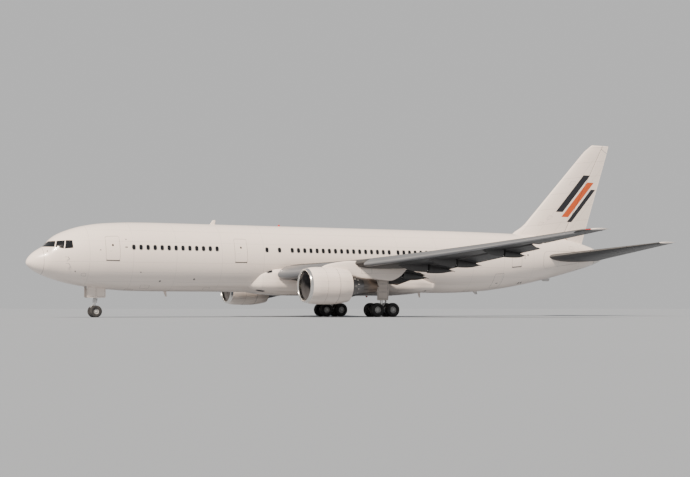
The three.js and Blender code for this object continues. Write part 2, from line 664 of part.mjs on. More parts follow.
// Wing to body fairing: station, half width, top, bottom
const BELLY = [
  [17.6, 1.5, 3.4, 2.3],
  [18.6, 2.3, 4.0, 1.98],
  [19.9, 2.6, 4.3, 1.82],
  [21.5, 2.63, 4.4, 1.75],
  [30.6, 2.63, 4.2, 1.75],
  [32.4, 2.55, 3.7, 1.85],
  [34.6, 1.9, 3.1, 2.1],
];
const BELLY_POWER = 0.62;
const bellyRing = ([station, halfWidth, top, bottom]) =>
  Array.from({ length: FUSELAGE_SIDES }, (_, i) => {
    const angle = (2 * Math.PI * (i + 0.5)) / FUSELAGE_SIDES;
    const square = (value) => Math.sign(value) * Math.abs(value) ** BELLY_POWER;
    const x = Math.min(halfWidth, halfWidth * 1.02 * square(Math.cos(angle)));
    return point(x, station, (top + bottom) / 2 + ((top - bottom) / 2) * square(Math.sin(angle)));
  });
const wingRootPlane = ROOT_SPAN - SEAT;
const belly = solid(loft(BELLY.map(bellyRing), true))
  .intersect(block([-wingRootPlane, 15, 0], [wingRootPlane, 40, 9]))
  .subtract(fuselageSolid(10, 40, SEAT));
add("wing_body_fairing", belly, WHITE);

// Fin and rudder
const RUDDER = { from: [7.32, 49.4], to: [15.5, 53.95] };
const RUDDER_END_CLEAR = 0.06;
const rudder = hingedPanel(fin, RUDDER, [RUDDER.from[0], RUDDER.to[0]], RUDDER_END_CLEAR);
add("rudder", rudder.moving, WHITE);
add("fin", fin.whole.subtract(rudder.bay).subtract(fuselageGrown), WHITE);

// Tailplane halves and elevators
const ELEVATOR = { from: [1.75, 51.75], to: [8.85, 54.05] };
const elevator = hingedPanel(tailplane, ELEVATOR);
addPair("elevator", elevator.moving, GREY);
addPair("tailplane", tailplane.whole.subtract(elevator.bay).subtract(fuselageGrown), GREY);

// Cockpit windows, set flush into pockets in the skin; a part behind the posts joins the panes of each side
function outset(outline, distance) {
  const normals = outline.map(([s, z], i) => {
    const [s1, z1] = outline[(i + 1) % outline.length];
    const length = Math.hypot(s1 - s, z1 - z);
    return [(z1 - z) / length, (s - s1) / length];
  });
  return outline.map(([s, z], i) => {
    const [before, after] = [normals.at(i - 1), normals[i]];
    const share = distance / (1 + before[0] * after[0] + before[1] * after[1]);
    return [s + (before[0] + after[0]) * share, z + (before[1] + after[1]) * share];
  });
}

function cockpitPart(grow) {
  const prism = (outline) =>
    solid(loft([CENTRE_POST - grow, FAR].map((x) => outset(outline, grow).map(([s, z]) => point(x, s, z)))));
  const behind = prism(COCKPIT_BAND).intersect(fuselageSolid(RADOME_END, CONE_START, grow - POST_DEPTH));
  return joined([behind, ...COCKPIT_PANES.map(prism)])
    .subtract(fuselageSolid(RADOME_END, CONE_START, -PANE_DEPTH - grow));
}

const fuselageBody = fuselageSolid(RADOME_END, CONE_START);
const cockpitPocket = cockpitPart(SEAT);
addPair("cockpit_windows", cockpitPart(0).intersect(fuselageBody), DARK);
add("fuselage", fuselageBody.subtract(cockpitPocket).subtract(mirrored(cockpitPocket)), WHITE);

// Wings with their moving surfaces
const ailerons = {
  inboard: hingedPanel(wing, AILERON_INBOARD),
  outboard: hingedPanel(wing, AILERON_OUTBOARD),
};
const flaps = { inboard: slottedFlap(FLAPS.inboard), outboard: slottedFlap(FLAPS.outboard) };
const spoilers = { inboard: spoilerPanel(SPOILERS.inboard), outboard: spoilerPanel(SPOILERS.outboard) };
const slats = {
  inboard: slat(SLATS.inboard, SLAT_TRACKS.inboard),
  outboard: slat(SLATS.outboard, SLAT_TRACKS.outboard),
};
let wingBox = wing.whole;
for (const place of ["inboard", "outboard"]) {
  wingBox = wingBox.subtract(ailerons[place].bay);
  wingBox = wingBox.subtract(flaps[place].bay).subtract(spoilers[place].pocket);
  wingBox = wingBox.subtract(slats[place].cut).add(slats[place].fixedNose);
  for (const fairing of flaps[place].fixedFairings) wingBox = wingBox.add(fairing);
  addPair("aileron_" + place, ailerons[place].moving, GREY);
  const flapOut = turned(flaps[place].moving, flaps[place].hinge[0], flaps[place].hinge[1], -FLAP_SET);
  addPair("flap_" + place, flapOut, GREY);
  addPair("spoiler_" + place, spoilers[place].moving, GREY);
  addPair("slat_" + place, slats[place].moving, METAL);
}
addPair("wing", wingBox, GREY);

// Engines: rings about the engine's axis, from [station, radius] profiles.
// LatheGeometry turns about Y, which is the engine's axis here.
function turnedRing(profile, sides = ENGINE_SIDES) {
  const points = profile.map(([station, radius]) => new THREE.Vector2(mm(radius), mm(station - LENGTH / 2)));
  const geometry = new THREE.LatheGeometry([...points, points[0]], sides);
  return solid(geometry.translate(mm(ENGINE_X), 0, mm(ENGINE_Z)));
}

const inletCowl = turnedRing([
  [INLET, 1.23], [INLET + 0.08, 1.3], [INLET + 0.5, 1.39], [FAN_COWL_START - SEAT, 1.44],
  [FAN_COWL_START - SEAT, FAN_RADIUS + 0.02], [INLET + 0.4, 1.13], [INLET + 0.06, 1.17],
]);
const fanCowl = turnedRing([
  [FAN_COWL_START, 1.44], [21.8, 1.44], [22.6, 1.37], [FAN_EXIT, 1.25],
  [FAN_EXIT, 1.22], [FAN_COWL_START, FAN_RADIUS + 0.03],
]);
const coreCowl = turnedRing([
  [22.1, 0.62], [22.5, 0.86], [FAN_EXIT, 0.92], [24.43, 0.68],
  [24.43, 0.63], [23.5, CORE_RADIUS + CORE_PLAY], [22.1, CORE_RADIUS + CORE_PLAY],
]);
const nozzle = turnedRing([
  [24.43 + SEAT, 0.68], [25.74, 0.49], [25.74, 0.46], [24.43 + SEAT, 0.63],
]);
const STRUT_STATION = 21.75;
// The inner face of the fan cowl at the struts, where the eight struts meet the flats of a 20-sided ring.
const STRUT_REACH = 1.165;
const engineCore = (() => {
  const body = turnedRing([
    [FAN_COWL_START + CLEAR, 0], [FAN_COWL_START + CLEAR, 0.4], [21.3, CORE_RADIUS], [23.5, CORE_RADIUS],
    [24.3, 0.4], [26.15, 0.04], [26.15, 0],
  ]);
  const onAxis = (station) => point(ENGINE_X, station, ENGINE_Z);
  const shaftEnds = [onAxis(FAN_COWL_START + 0.05), onAxis(FAN_COWL_START - SHAFT_REACH)];
  const shaft = rod(...shaftEnds, SHAFT_RADIUS, SHAFT_RADIUS, 16);
  const struts = Array.from({ length: 8 }, (_, i) => {
    const angle = (2 * Math.PI * (i + 0.5)) / 8;
    const at = (radius) =>
      point(ENGINE_X + radius * Math.cos(angle), STRUT_STATION, ENGINE_Z + radius * Math.sin(angle));
    return rod(at(0.4), at(STRUT_REACH), 0.05, 0.05, 4);
  });
  return joined([body, shaft, ...struts]);
})();

// The fan: a hub with a pointed spinner and twisted blades
const fan = (() => {
  const hub = turnedRing([
    [FAN_FACE - 0.62, 0], [FAN_FACE - 0.5, 0.15], [FAN_FACE - 0.1, 0.36],
    [FAN_COWL_START - 0.04, 0.4], [FAN_COWL_START - 0.04, 0],
  ], 16);
  const blades = Array.from({ length: FAN_BLADES }, (_, i) => {
    const rows = [[0.3, 0.14, 0.024], [FAN_RADIUS - CLEAR, 0.1, 0.012]].map(([radius, halfChord, half]) => {
      const twist = radians(18 + 42 * (radius / FAN_RADIUS));
      return [[-halfChord, -half], [halfChord, -half], [halfChord, half], [-halfChord, half]].map(([c, t]) => {
        const across = c * Math.sin(twist) + t * Math.cos(twist);
        const back = c * Math.cos(twist) - t * Math.sin(twist);
        const angle = (2 * Math.PI * i) / FAN_BLADES + across / radius;
        const [side, up] = [radius * Math.cos(angle), radius * Math.sin(angle)];
        return point(ENGINE_X + side, FAN_FACE + 0.02 + back, ENGINE_Z + up);
      });
    });
    return solid(loft(rows, true));
  });
  const boreRadius = (SHAFT_RADIUS + SHAFT_PLAY) / Math.cos(Math.PI / 16);
  const hole = rod(
    point(ENGINE_X, FAN_COWL_START + 0.2, ENGINE_Z),
    point(ENGINE_X, FAN_COWL_START - SHAFT_REACH - CLEAR, ENGINE_Z),
    boreRadius, boreRadius, 16,
  );
  return joined([hub, ...blades]).subtract(hole);
})();

// The pylon: its side outline with slanted edges, cut to the cowls and the wing
const pylonSolid = (() => {
  const ring = (out, shrink) =>
    PYLON.map(([station, height]) => point(
      ENGINE_X + out,
      station + (PYLON_MIDDLE[0] - station) * shrink * 0.2,
      height + (PYLON_MIDDLE[1] - height) * shrink,
    ));
  const edge = 0.14;
  const body = solid(loft([
    ring(-PYLON_HALF_WIDTH, edge), ring(-PYLON_EDGE, 0), ring(PYLON_EDGE, 0), ring(PYLON_HALF_WIDTH, edge),
  ]));
  const cowlFill = turnedRing([
    [INLET, 0], [INLET, 1.2], [FAN_COWL_START, 1.44 + SEAT], [21.8, 1.44 + SEAT], [22.6, 1.37 + SEAT],
    [FAN_EXIT + SEAT, 1.25 + SEAT], [FAN_EXIT + SEAT, 0],
  ]);
  const coreFill = turnedRing([
    [22, 0], [22, 0.92 + SEAT], [FAN_EXIT, 0.92 + SEAT], [23.9, 0.8 + SEAT], [24.43, 0.68 + SEAT],
    [25.1, 0.6 + SEAT], [25.8, 0.5], [25.8, 0],
  ]);
  const fixedWing = wing.aboveLower(SEAT).add(moved(wing.whole, 0, 0, -SEAT));
  return body.subtract(cowlFill).subtract(coreFill).subtract(fixedWing);
})();
addPair("inlet_cowl", inletCowl, METAL);
addPair("fan_cowl", fanCowl, WHITE);
addPair("core_cowl", coreCowl, CORE_METAL);
addPair("exhaust_nozzle", nozzle, HOT_METAL);
addPair("engine_core", engineCore, DARK);
addPair("fan", fan, DARK);
addPair("pylon", pylonSolid, WHITE);

// A twin wheel set on its axle, turned about X
function twinWheels({ radius, halfWidth, rim, offset: out }, axleRadius) {
  const half = [
    [0, out + halfWidth * 0.4], [rim * 0.92, out + halfWidth * 0.4],
    [rim, out + halfWidth * 0.85], [radius * 0.93, out + halfWidth * 0.9], [radius, out + halfWidth * 0.45],
    [radius, out - halfWidth * 0.45], [radius * 0.93, out - halfWidth * 0.9], [rim, out - halfWidth * 0.85],
    [axleRadius, out - halfWidth * 0.6],
  ];
  const profile = [...half, ...half.slice().reverse().map(([r, x]) => [r, -x])];
  const outline = profile.map(([r, x]) => new THREE.Vector2(mm(r), mm(x)));
  const geometry = new THREE.LatheGeometry(outline, WHEEL_SIDES);
  geometry.rotateY(Math.PI / WHEEL_SIDES).rotateZ(-Math.PI / 2);
  return solid(geometry);
}

const MAIN_AXLE = 0.065;
const NOSE_AXLE = 0.05;

// Main landing gear: leg with braces, bogie beam and two twin wheel sets on each side
const bogieAxles = [MAIN_S - BOGIE_BASE / 2, MAIN_S + BOGIE_BASE / 2];
const axleEnds = (x, station, height, reach) =>
  [x - reach, x + reach].map((side) => point(side, station, height));
const bogie = (() => {
  const at = (station, up = 0) => point(MAIN_X, station, MAIN_AXLE_Z + up);
  const bar = rod(at(bogieAxles[0] - 0.12), at(bogieAxles[1] + 0.12), 0.15, 0.15, 8);
  const along = (station, reach) => axleEnds(MAIN_X, station, MAIN_AXLE_Z, reach);
  const sleeves = bogieAxles.map((station) => rod(...along(station, 0.24), 0.15, 0.15, 8));
  const pivot = rod(at(MAIN_S), at(MAIN_S, 0.28), 0.13, 0.13, 8);
  const hole = bore(MAIN_AXLE, WHEEL_SIDES);
  const bores = bogieAxles.map((station) => rod(...along(station, 0.5), hole, hole, WHEEL_SIDES));
  return joined([bar, ...sleeves, pivot]).subtract(joined(bores));
})();
const wingUnderside = wing.aboveLower(SEAT);
const mainCylinder = (grow) =>
  rod(point(MAIN_X, MAIN_S, 1.5 - grow), point(MAIN_X, MAIN_S, 4.2), 0.19 + grow, 0.21 + grow, 10);
const mainLeg = (() => {
  const foot = MAIN_AXLE_Z + 0.28 + SEAT;
  const at = (dx, ds, z) => point(MAIN_X + dx, MAIN_S + ds, z);
  const piston = rod(at(0, 0, foot), at(0, 0, 1.75), 0.125, 0.125, 10);
  const cylinder = mainCylinder(0);
  const trunnion = rod(at(0, -1.0, 3.0), at(0, 0.45, 3.0), 0.17, 0.17, 8);
  const collar = rod(at(0, 0, 1.62), at(0, 0, 1.9), 0.26, 0.26, 10);
  const sideBrace = rod(at(0, 0, 1.76), point(2.75, MAIN_S - 0.2, 3.3), 0.09, 0.09, 6);
  const dragBrace = rod(at(0, 0, 1.76), at(0, -1.75, 3.6), 0.08, 0.08, 6);
  const links = [
    block([MAIN_X - 0.1, MAIN_S + 0.1, 1.55], [MAIN_X + 0.1, MAIN_S + 0.42, 1.65]),
    block([MAIN_X - 0.06, MAIN_S + 0.34, 0.98], [MAIN_X + 0.06, MAIN_S + 0.42, 1.62]),
    block([MAIN_X - 0.1, MAIN_S + 0.05, 0.93], [MAIN_X + 0.1, MAIN_S + 0.42, 1.02]),
  ];
  return joined([piston, cylinder, trunnion, collar, sideBrace, dragBrace, ...links]).subtract(wingUnderside);
})();
const mainDoor = block([MAIN_X + 0.27, MAIN_S - 0.55, 1.35], [MAIN_X + 0.33, MAIN_S + 0.5, 3.25])
  .add(block([MAIN_X + 0.19, MAIN_S - 0.1, 2.4], [MAIN_X + 0.3, MAIN_S + 0.1, 2.6]))
  .subtract(mainCylinder(SEAT))
  .subtract(wingUnderside);
addPair("main_gear_leg", mainLeg, STEEL);
addPair("main_gear_bogie", bogie, STEEL);
addPair("main_gear_door", mainDoor, WHITE);
["front", "rear"].forEach((place, i) => {
  const set = moved(twinWheels(MAIN_TYRE, MAIN_AXLE), MAIN_X, bogieAxles[i] - LENGTH / 2, MAIN_AXLE_Z);
  addPair("main_wheels_" + place, set, RUBBER);
});

// Nose landing gear: fixed leg, steered axle, twin wheels and two open doors
const noseAt = (dx, ds, z) => point(dx, NOSE_S + ds, z);
const STEER_TOP = 1.12;
const PIN_RADIUS = 0.06;
const noseSteering = (() => {
  const piston = rod(noseAt(0, 0, NOSE_AXLE_Z), noseAt(0, 0, STEER_TOP), 0.1, 0.1, 10);
  const pin = rod(noseAt(0, 0, STEER_TOP - 0.05), noseAt(0, 0, STEER_TOP + 0.25), PIN_RADIUS, PIN_RADIUS, 16);
  const sleeve = rod(...axleEnds(0, NOSE_S, NOSE_AXLE_Z, 0.1), 0.11, 0.11, 12);
  const links = [
    block([-0.07, NOSE_S - 0.35, 0.95], [0.07, NOSE_S - 0.05, 1.03]),
    block([-0.04, NOSE_S - 0.35, 0.6], [0.04, NOSE_S - 0.28, 1.03]),
    block([-0.07, NOSE_S - 0.35, 0.55], [0.07, NOSE_S - 0.05, 0.62]),
  ];
  const hole = bore(NOSE_AXLE, WHEEL_SIDES);
  return joined([piston, pin, sleeve, ...links])
    .subtract(rod(...axleEnds(0, NOSE_S, NOSE_AXLE_Z, 0.5), hole, hole, WHEEL_SIDES));
})();
const noseLeg = (() => {
  const cylinder = rod(noseAt(0, 0, STEER_TOP + CLEAR), noseAt(0, 0, 2.9), 0.14, 0.14, 12);
  const brace = rod(noseAt(0, 0, 1.55), noseAt(0, -1.15, 2.9), 0.07, 0.07, 6);
  const crossPin = rod(noseAt(-0.3, 0, 2.1), noseAt(0.3, 0, 2.1), 0.08, 0.08, 6);
  const hole = bore(PIN_RADIUS, 16);
  return joined([cylinder, brace, crossPin])
    .subtract(rod(noseAt(0, 0, 1), noseAt(0, 0, STEER_TOP + 0.25 + CLEAR), hole, hole, 16))
    .subtract(fuselageSolid(2, 9, SEAT));
})();
const noseDoor = block([0.33, NOSE_S - 0.75, 1.5], [0.37, NOSE_S + 0.75, 2.6])
  .subtract(fuselageSolid(2, 9, SEAT));
add("nose_gear_leg", noseLeg, STEEL);
add("nose_gear_steering", noseSteering, STEEL);
addPair("nose_gear_door", noseDoor, WHITE);
add("nose_wheels", moved(twinWheels(NOSE_TYRE, NOSE_AXLE), 0, NOSE_S - LENGTH / 2, NOSE_AXLE_Z), RUBBER);

export default airliner;
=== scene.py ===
"""Looks of a wide body twin-engine airliner, a half scale model standing on its landing gear.

Every size is the real airliner's, in metres: span to port, station aft of the nose tip, height above ground.
piece() turns such points into the model's own metres, in the same frame as the construction.
"""

import bmesh
import bpy
import numpy as np
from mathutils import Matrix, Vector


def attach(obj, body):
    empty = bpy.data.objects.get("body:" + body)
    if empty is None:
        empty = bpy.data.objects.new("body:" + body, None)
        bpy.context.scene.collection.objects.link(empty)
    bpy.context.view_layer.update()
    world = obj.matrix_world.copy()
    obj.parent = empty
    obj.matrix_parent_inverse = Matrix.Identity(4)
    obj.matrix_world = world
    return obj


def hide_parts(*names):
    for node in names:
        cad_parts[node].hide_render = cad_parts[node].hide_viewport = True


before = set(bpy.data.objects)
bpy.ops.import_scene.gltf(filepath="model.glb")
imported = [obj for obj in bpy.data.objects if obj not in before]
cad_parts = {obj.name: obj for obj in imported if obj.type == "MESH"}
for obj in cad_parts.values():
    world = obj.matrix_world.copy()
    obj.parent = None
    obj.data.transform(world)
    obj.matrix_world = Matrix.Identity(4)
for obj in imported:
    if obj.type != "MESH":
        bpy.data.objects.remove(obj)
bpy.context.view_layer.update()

SCALE = 0.5
LENGTH = 54.94
HALF_SPAN = 23.7825
# Gap round everything that moves
CLEAR = 0.012
TURN = 2 * np.pi
# How far plates and rims reach into the skin that they lie on
SUNK = 0.02

# Fuselage sections: station, half width, crown height, keel height
FUSELAGE = np.array([
    [0.0, 0.0, 4.15, 4.15],
    [0.06, 0.27, 4.4, 3.98],
    [0.25, 0.52, 4.68, 3.78],
    [0.6, 0.82, 5.0, 3.52],
    [1.1, 1.12, 5.32, 3.27],
    [1.36, 1.25, 5.5, 3.16],
    [1.75, 1.42, 5.94, 3.01],
    [2.2, 1.59, 6.28, 2.87],
    [3.0, 1.85, 6.65, 2.65],
    [4.3, 2.16, 7.04, 2.4],
    [6.0, 2.4, 7.3, 2.2],
    [8.5, 2.505, 7.43, 2.05],
    [10.5, 2.515, 7.45, 2.03],
    [36.5, 2.515, 7.45, 2.03],
    [39.5, 2.5, 7.44, 2.14],
    [42.2, 2.4, 7.41, 2.4],
    [44.8, 2.18, 7.36, 2.8],
    [47.8, 1.75, 7.22, 3.42],
    [50.2, 1.24, 6.92, 3.98],
    [52.66, 0.66, 6.3, 4.66],
    [53.4, 0.46, 6.02, 4.93],
    [53.76, 0.33, 5.82, 5.1],
])
RADOME_END = 1.1
CONE_START = 52.66

# Planforms: span (the fin's height), leading edge, trailing edge, incidence in degrees, thickness / chord
WING = [
    [2.62, 20.03, 30.5, 3.0, 0.15],
    [5.2, 21.84, 30.62, 2.4, 0.133],
    [8.0, 23.8, 30.8, 1.6, 0.118],
    [13.0, 27.3, 32.63, 0.9, 0.11],
    [18.5, 31.16, 34.65, 0.2, 0.106],
    [23.25, 34.49, 36.39, -0.5, 0.1],
    [HALF_SPAN, 35.45, 36.6, -0.5, 0.08],
]
FIN = [
    [6.0, 43.9, 51.45, 0, 0.1],
    [7.35, 43.9, 51.92, 0, 0.1],
    [8.1, 45.2, 52.18, 0, 0.1],
    [15.2, 52.06, 54.66, 0, 0.1],
    [15.85, 52.95, 54.85, 0, 0.07],
]
TAILPLANE = [
    [0.75, 45.63, 53.16, 0, 0.1],
    [1.9, 46.69, 53.39, 0, 0.1],
    [9.0, 53.2, 54.86, 0, 0.09],
    [9.31, 53.9, LENGTH, 0, 0.07],
]

# Moving surfaces: hinge or nose line from inboard to outboard as [span, station]
AILERONS = {"inboard": ([7.3, 29.5], [8.45, 29.55]), "outboard": ([18.75, 33.84], [22.6, 35.42])}
FLAPS = {
    "inboard": {"line": ([2.78, 28.8], [7.1, 28.9]), "shroud": 0.85, "fairings": [6.7]},
    "outboard": {"line": ([9.25, 29.294], [18.45, 33.3]), "shroud": 0.62, "fairings": [9.7, 12.2, 16.2]},
}
SPOILERS = {
    "inboard": {"line": ([3.1, 28.55], [6.85, 28.65]), "chord": 0.95, "panels": 2},
    "outboard": {"line": ([9.6, 29.2], [18.0, 32.86]), "chord": 0.8, "panels": 4},
}
SLATS = {
    "inboard": {"span": (2.68, 7.0), "share": (0.085, 0.1), "tracks": [3.5, 6.4]},
    "outboard": {"span": (9.0, 22.9), "share": (0.115, 0.17), "tracks": [9.8, 13.2, 16.6, 20.0, 22.3]},
}
RUDDER = ([7.32, 49.4], [15.5, 53.95])
RUDDER_END_CLEAR = 0.06
ELEVATOR = ([1.75, 51.75], [8.85, 54.05])
# Span of the discharge wick near the wing's tip
WICK_SPAN = 23.04
# Edges of wings and tail sharper than this many degrees stay sharp
SURFACE_SHARP = 32
# Flaps: depth of the hinge below the wing, its distance ahead of the nose line, and the angle they are set to
FLAP_DROP = 0.42
FLAP_AHEAD = 0.34
FLAP_SET = 12
# Depth of the wing's upper skin and its support over the flap's nose
SHROUD = 0.11
SPOILER_THICKNESS = 0.05
# Slats run out: turn in degrees, way forward and way down
SLAT_TURN = 16
SLAT_FORWARD = 0.3
SLAT_DOWN = 0.13
# Depth of a hinged surface's nose as a share of the section's
NOSE_SHARE = 0.9

# Engines: a point of the port engine's axis, then stations and radii
ENGINE = np.array([7.92, 0.0, 2.45])
INLET = 19.53
FAN_COWL = 20.95
FAN_EXIT = 23.2
FAN_FACE = 20.72
FAN_RADIUS = 1.17
HUB_RADIUS = 0.36
FAN_BLADES = 38

# Landing gear: span and station of the main legs, stations of the axles, heights of the axles
MAIN_X = 4.65
MAIN_S = 28.1
BOGIE_BASE = 1.42
MAIN_AXLE = 0.584 * np.cos(np.pi / 16)
NOSE_S = 5.4
NOSE_AXLE = 0.47 * np.cos(np.pi / 16)
WHEEL_FINISHES = ["rubber", "wheel_paint", "dark"]

# Light: the colours and strengths of an even sky and a soft sun
SKY_COLOR = (0.81, 0.81, 0.81)
SKY_STRENGTH = 0.74
SUN_COLOR = (1.0, 0.86, 0.72)
SUN_STRENGTH = 8.0
SUN_HEIGHT = np.radians(46)
SUN_AZIMUTH = np.radians(40)
# The camera, in the model's own metres; azimuths are measured from straight ahead of the nose toward port
CAMERA_AZIMUTH = np.radians(62.75)
CAMERA_HEIGHT = 0.35
CAMERA_DISTANCE = 60.0
CAMERA_TARGET = np.array([-0.067, -0.131, 3.3])
CAMERA_LENS = 74.1


def smooth(knots, values, at):
    """A curve through the values that doesn't overshoot: cubics whose slope at a knot is the harmonic mean of
    the slopes on its two sides, and nothing where those differ in sign."""
    knots, values, at = np.asarray(knots, float), np.asarray(values, float), np.asarray(at, float)
    step = np.diff(knots)
    rise = np.diff(values) / step
    product = rise[:-1] * rise[1:]
    inner = np.where(product > 0, 2 * product / np.where(product > 0, rise[:-1] + rise[1:], 1), 0)
    slope = np.concatenate([rise[:1], inner, rise[-1:]])
    i = np.clip(np.searchsorted(knots, at, side="right") - 1, 0, len(step) - 1)
    t = (np.clip(at, knots[0], knots[-1]) - knots[i]) / step[i]
    low = (1 + 2 * t) * (1 - t) ** 2 * values[i] + t * (1 - t) ** 2 * step[i] * slope[i]
    return low + t**2 * (3 - 2 * t) * values[i + 1] - t**2 * (1 - t) * step[i] * slope[i + 1]


def bend(points, count):
    """A smooth line of count points through a few, each coordinate a smooth curve of the length so far."""
    points = np.asarray(points, float)
    run = np.concatenate([[0], np.cumsum(np.linalg.norm(np.diff(points, axis=0), axis=1))])
    at = np.linspace(0, run[-1], count)
    return np.stack([smooth(run, column, at) for column in points.T], -1)


def xyz(x, s, z):
    """Points from spans, stations and heights, any of which may be one number."""
    return np.stack(np.broadcast_arrays(*(np.asarray(v, float) for v in (x, s, z))), -1)


def cosines(count):
    """Shares from 0 to 1, closer together at both ends."""
    return (1 - np.cos(np.linspace(0, np.pi, count))) / 2


def circle(count):
    """Even angles round a turn."""
    return TURN * np.arange(count) / count


def blunt(angle, power):
    """Cosine and sine with their sizes raised to a power, as in a superellipse."""
    return tuple(np.sign(f(angle)) * np.abs(f(angle)) ** power for f in (np.cos, np.sin))


def columns(*runs):
    """Spans, stations and heights of several runs of points, one run after the other."""
    return [np.concatenate(column) for column in zip(*runs)]


# Mesh parts: points, rows of face corners, and the number of the finish

def grid(points, wrap=True, caps=False, finish=0):
    """Rows of points joined by quads; wrap joins the last column to the first, caps close both ends."""
    points = np.asarray(points, float)
    rows, columns = points.shape[:2]
    corner = np.arange(rows * columns).reshape(rows, columns)
    looped = np.hstack([corner, corner[:, :1]]) if wrap else corner
    quads = np.stack([looped[:-1, :-1], looped[:-1, 1:], looped[1:, 1:], looped[1:, :-1]], -1).reshape(-1, 4)
    faces = [quads, corner[:1, ::-1], corner[-1:]] if caps else [quads]
    return points.reshape(-1, 3), faces, finish


def two_tone(rings, count, finish):
    """Rings closed at both ends, the last count of them in another finish."""
    points, (quads, first, last), _ = grid(rings, caps=True)
    cut = len(quads) - count * len(rings[0])
    return [(points, [quads[:cut], first], 0), (points, [quads[cut:], last], finish)]


def mirror(parts):
    """The same parts on the starboard side."""
    return [(points * [-1, 1, 1], [rows[:, ::-1] for rows in faces], finish)
            for points, faces, finish in parts]


def shifted(parts, by):
    return [(points + np.asarray(by, float), faces, finish) for points, faces, finish in parts]


def turned(parts, a, b, degrees):
    """Parts turned about the line from a to b: a point keeps its share along the axis, and the rest turns."""
    a, axis = np.asarray(a, float), np.subtract(b, a)
    axis = axis / np.linalg.norm(axis)
    cos, sin = np.cos(np.radians(degrees)), np.sin(np.radians(degrees))

    def turn(points):
        out = points - a
        along = (out @ axis)[:, None] * axis
        return a + along + (out - along) * cos + np.cross(axis, out) * sin

    return [(turn(points), faces, finish) for points, faces, finish in parts]


def lathe(profile, centre=(0, 0, 0), axis=1, sides=64, finish=0):
    """Rings of (distance along the axis, radius) about the axis 0, 1 or 2 through centre."""
    profile = np.asarray(profile, float)
    ring = np.zeros((len(profile), sides, 3))
    ring[..., axis] = profile[:, :1]
    ring[..., (axis + 1) % 3] = profile[:, 1:] * np.cos(circle(sides))
    ring[..., (axis + 2) % 3] = profile[:, 1:] * np.sin(circle(sides))
    return grid(ring + np.asarray(centre, float), finish=finish)


def hoop(start, end, low, high, fall=0.0, **options):
    """A raised band round an axis between two radii, its far edge lower by fall."""
    return lathe([[start, low], [start, high], [end, high - fall], [end, low]], **options)


def tube(path, radius, sides=14, finish=0, flat=1.0):
    """A round bar along a path, its ends closed. Each ring lies square to the path, turned as little as
    possible from the one before; radius may be a list; flat narrows the ring across."""
    path = np.asarray(path, float)
    radius = np.broadcast_to(np.asarray(radius, float), len(path))
    ahead = np.gradient(path, axis=0)
    ahead = ahead / np.linalg.norm(ahead, axis=1, keepdims=True)
    up = np.eye(3)[np.argmin(np.abs(ahead[0]))]
    angle = circle(sides)[:, None]
    rings = []
    for centre, size, forward in zip(path, radius, ahead):
        up = up - forward * (up @ forward)
        up = up / np.linalg.norm(up)
        side = np.cross(forward, up)
        rings.append(centre + size * (np.cos(angle) * up + flat * np.sin(angle) * side))
    return grid(rings, caps=True, finish=finish)


def rod(a, b, radius, sides=16, finish=0, edge=0.01):
    """A straight bar with bevelled ends."""
    a, b = np.asarray(a, float), np.asarray(b, float)
    step = (b - a) / np.linalg.norm(b - a) * edge
    return tube([a, a + step, b - step, b], [radius - edge, radius, radius, radius - edge], sides, finish)


def rods(*rows):
    """Bars from rows of both ends, radius, sides and finish."""
    return [rod(*row) for row in rows]


def plate(outline, lift, high, bevel=0.002, finish=0, low=-SUNK):
    """A flat piece with bevelled edges: an outline of (across, up) between two levels, put in place by
    lift(across, up, level). Smaller rings within let its face follow a curved skin."""
    outline = np.asarray(outline, float)
    middle = outline.mean(0)
    inward = outline - middle
    inset = outline - inward * bevel / np.maximum(np.linalg.norm(inward, axis=1, keepdims=True), 1e-6)
    levels = [(inset, low), (outline, low + bevel), (outline, high - bevel), (inset, high)]
    levels += [(middle + (inset - middle) * share, high) for share in (0.7, 0.4, 0.12)]
    return grid([lift(*line.T, level) for line, level in levels], caps=True, finish=finish)


def rim(outline, width, lift, high, finish=0, low=-SUNK):
    """A raised frame round an outline: its section is a flat band between two levels, width wide."""
    outline = np.asarray(outline, float)
    outward = outline - outline.mean(0)
    outward = outward / np.linalg.norm(outward, axis=1, keepdims=True)
    rows = [(0, low), (0, high), (width, high), (width, low), (0, low)]
    return grid([lift(*(outline + outward * out).T, level) for out, level in rows], finish=finish)


def rounded(width, height, radius, corner=5, side=2):
    """A rectangle with quarter round corners, and side extra points along each edge."""
    arcs = []
    for i, (x, y) in enumerate([(1, 1), (-1, 1), (-1, -1), (1, -1)]):
        angle = np.pi / 2 * (i + np.linspace(0, 1, corner))
        arcs.append(np.stack([x * (width / 2 - radius) + radius * np.cos(angle),
                              y * (height / 2 - radius) + radius * np.sin(angle)], -1))
    share = np.linspace(0, 1, side + 2)[1:-1, None]
    lines = []
    for corner_line, after in zip(arcs, arcs[1:] + arcs[:1]):
        lines += [corner_line, corner_line[-1] * (1 - share) + after[0] * share]
    return np.concatenate(lines)


def added(name, data):
    """A new object in the scene."""
    made = bpy.data.objects.new(name, data)
    bpy.context.scene.collection.objects.link(made)
    return made


def node_of(name, node):
    """The node that a piece stands for: the one given, or the one that its name has before _skin."""
    return node or (name.removesuffix("_skin") if name.endswith("_skin") else None)


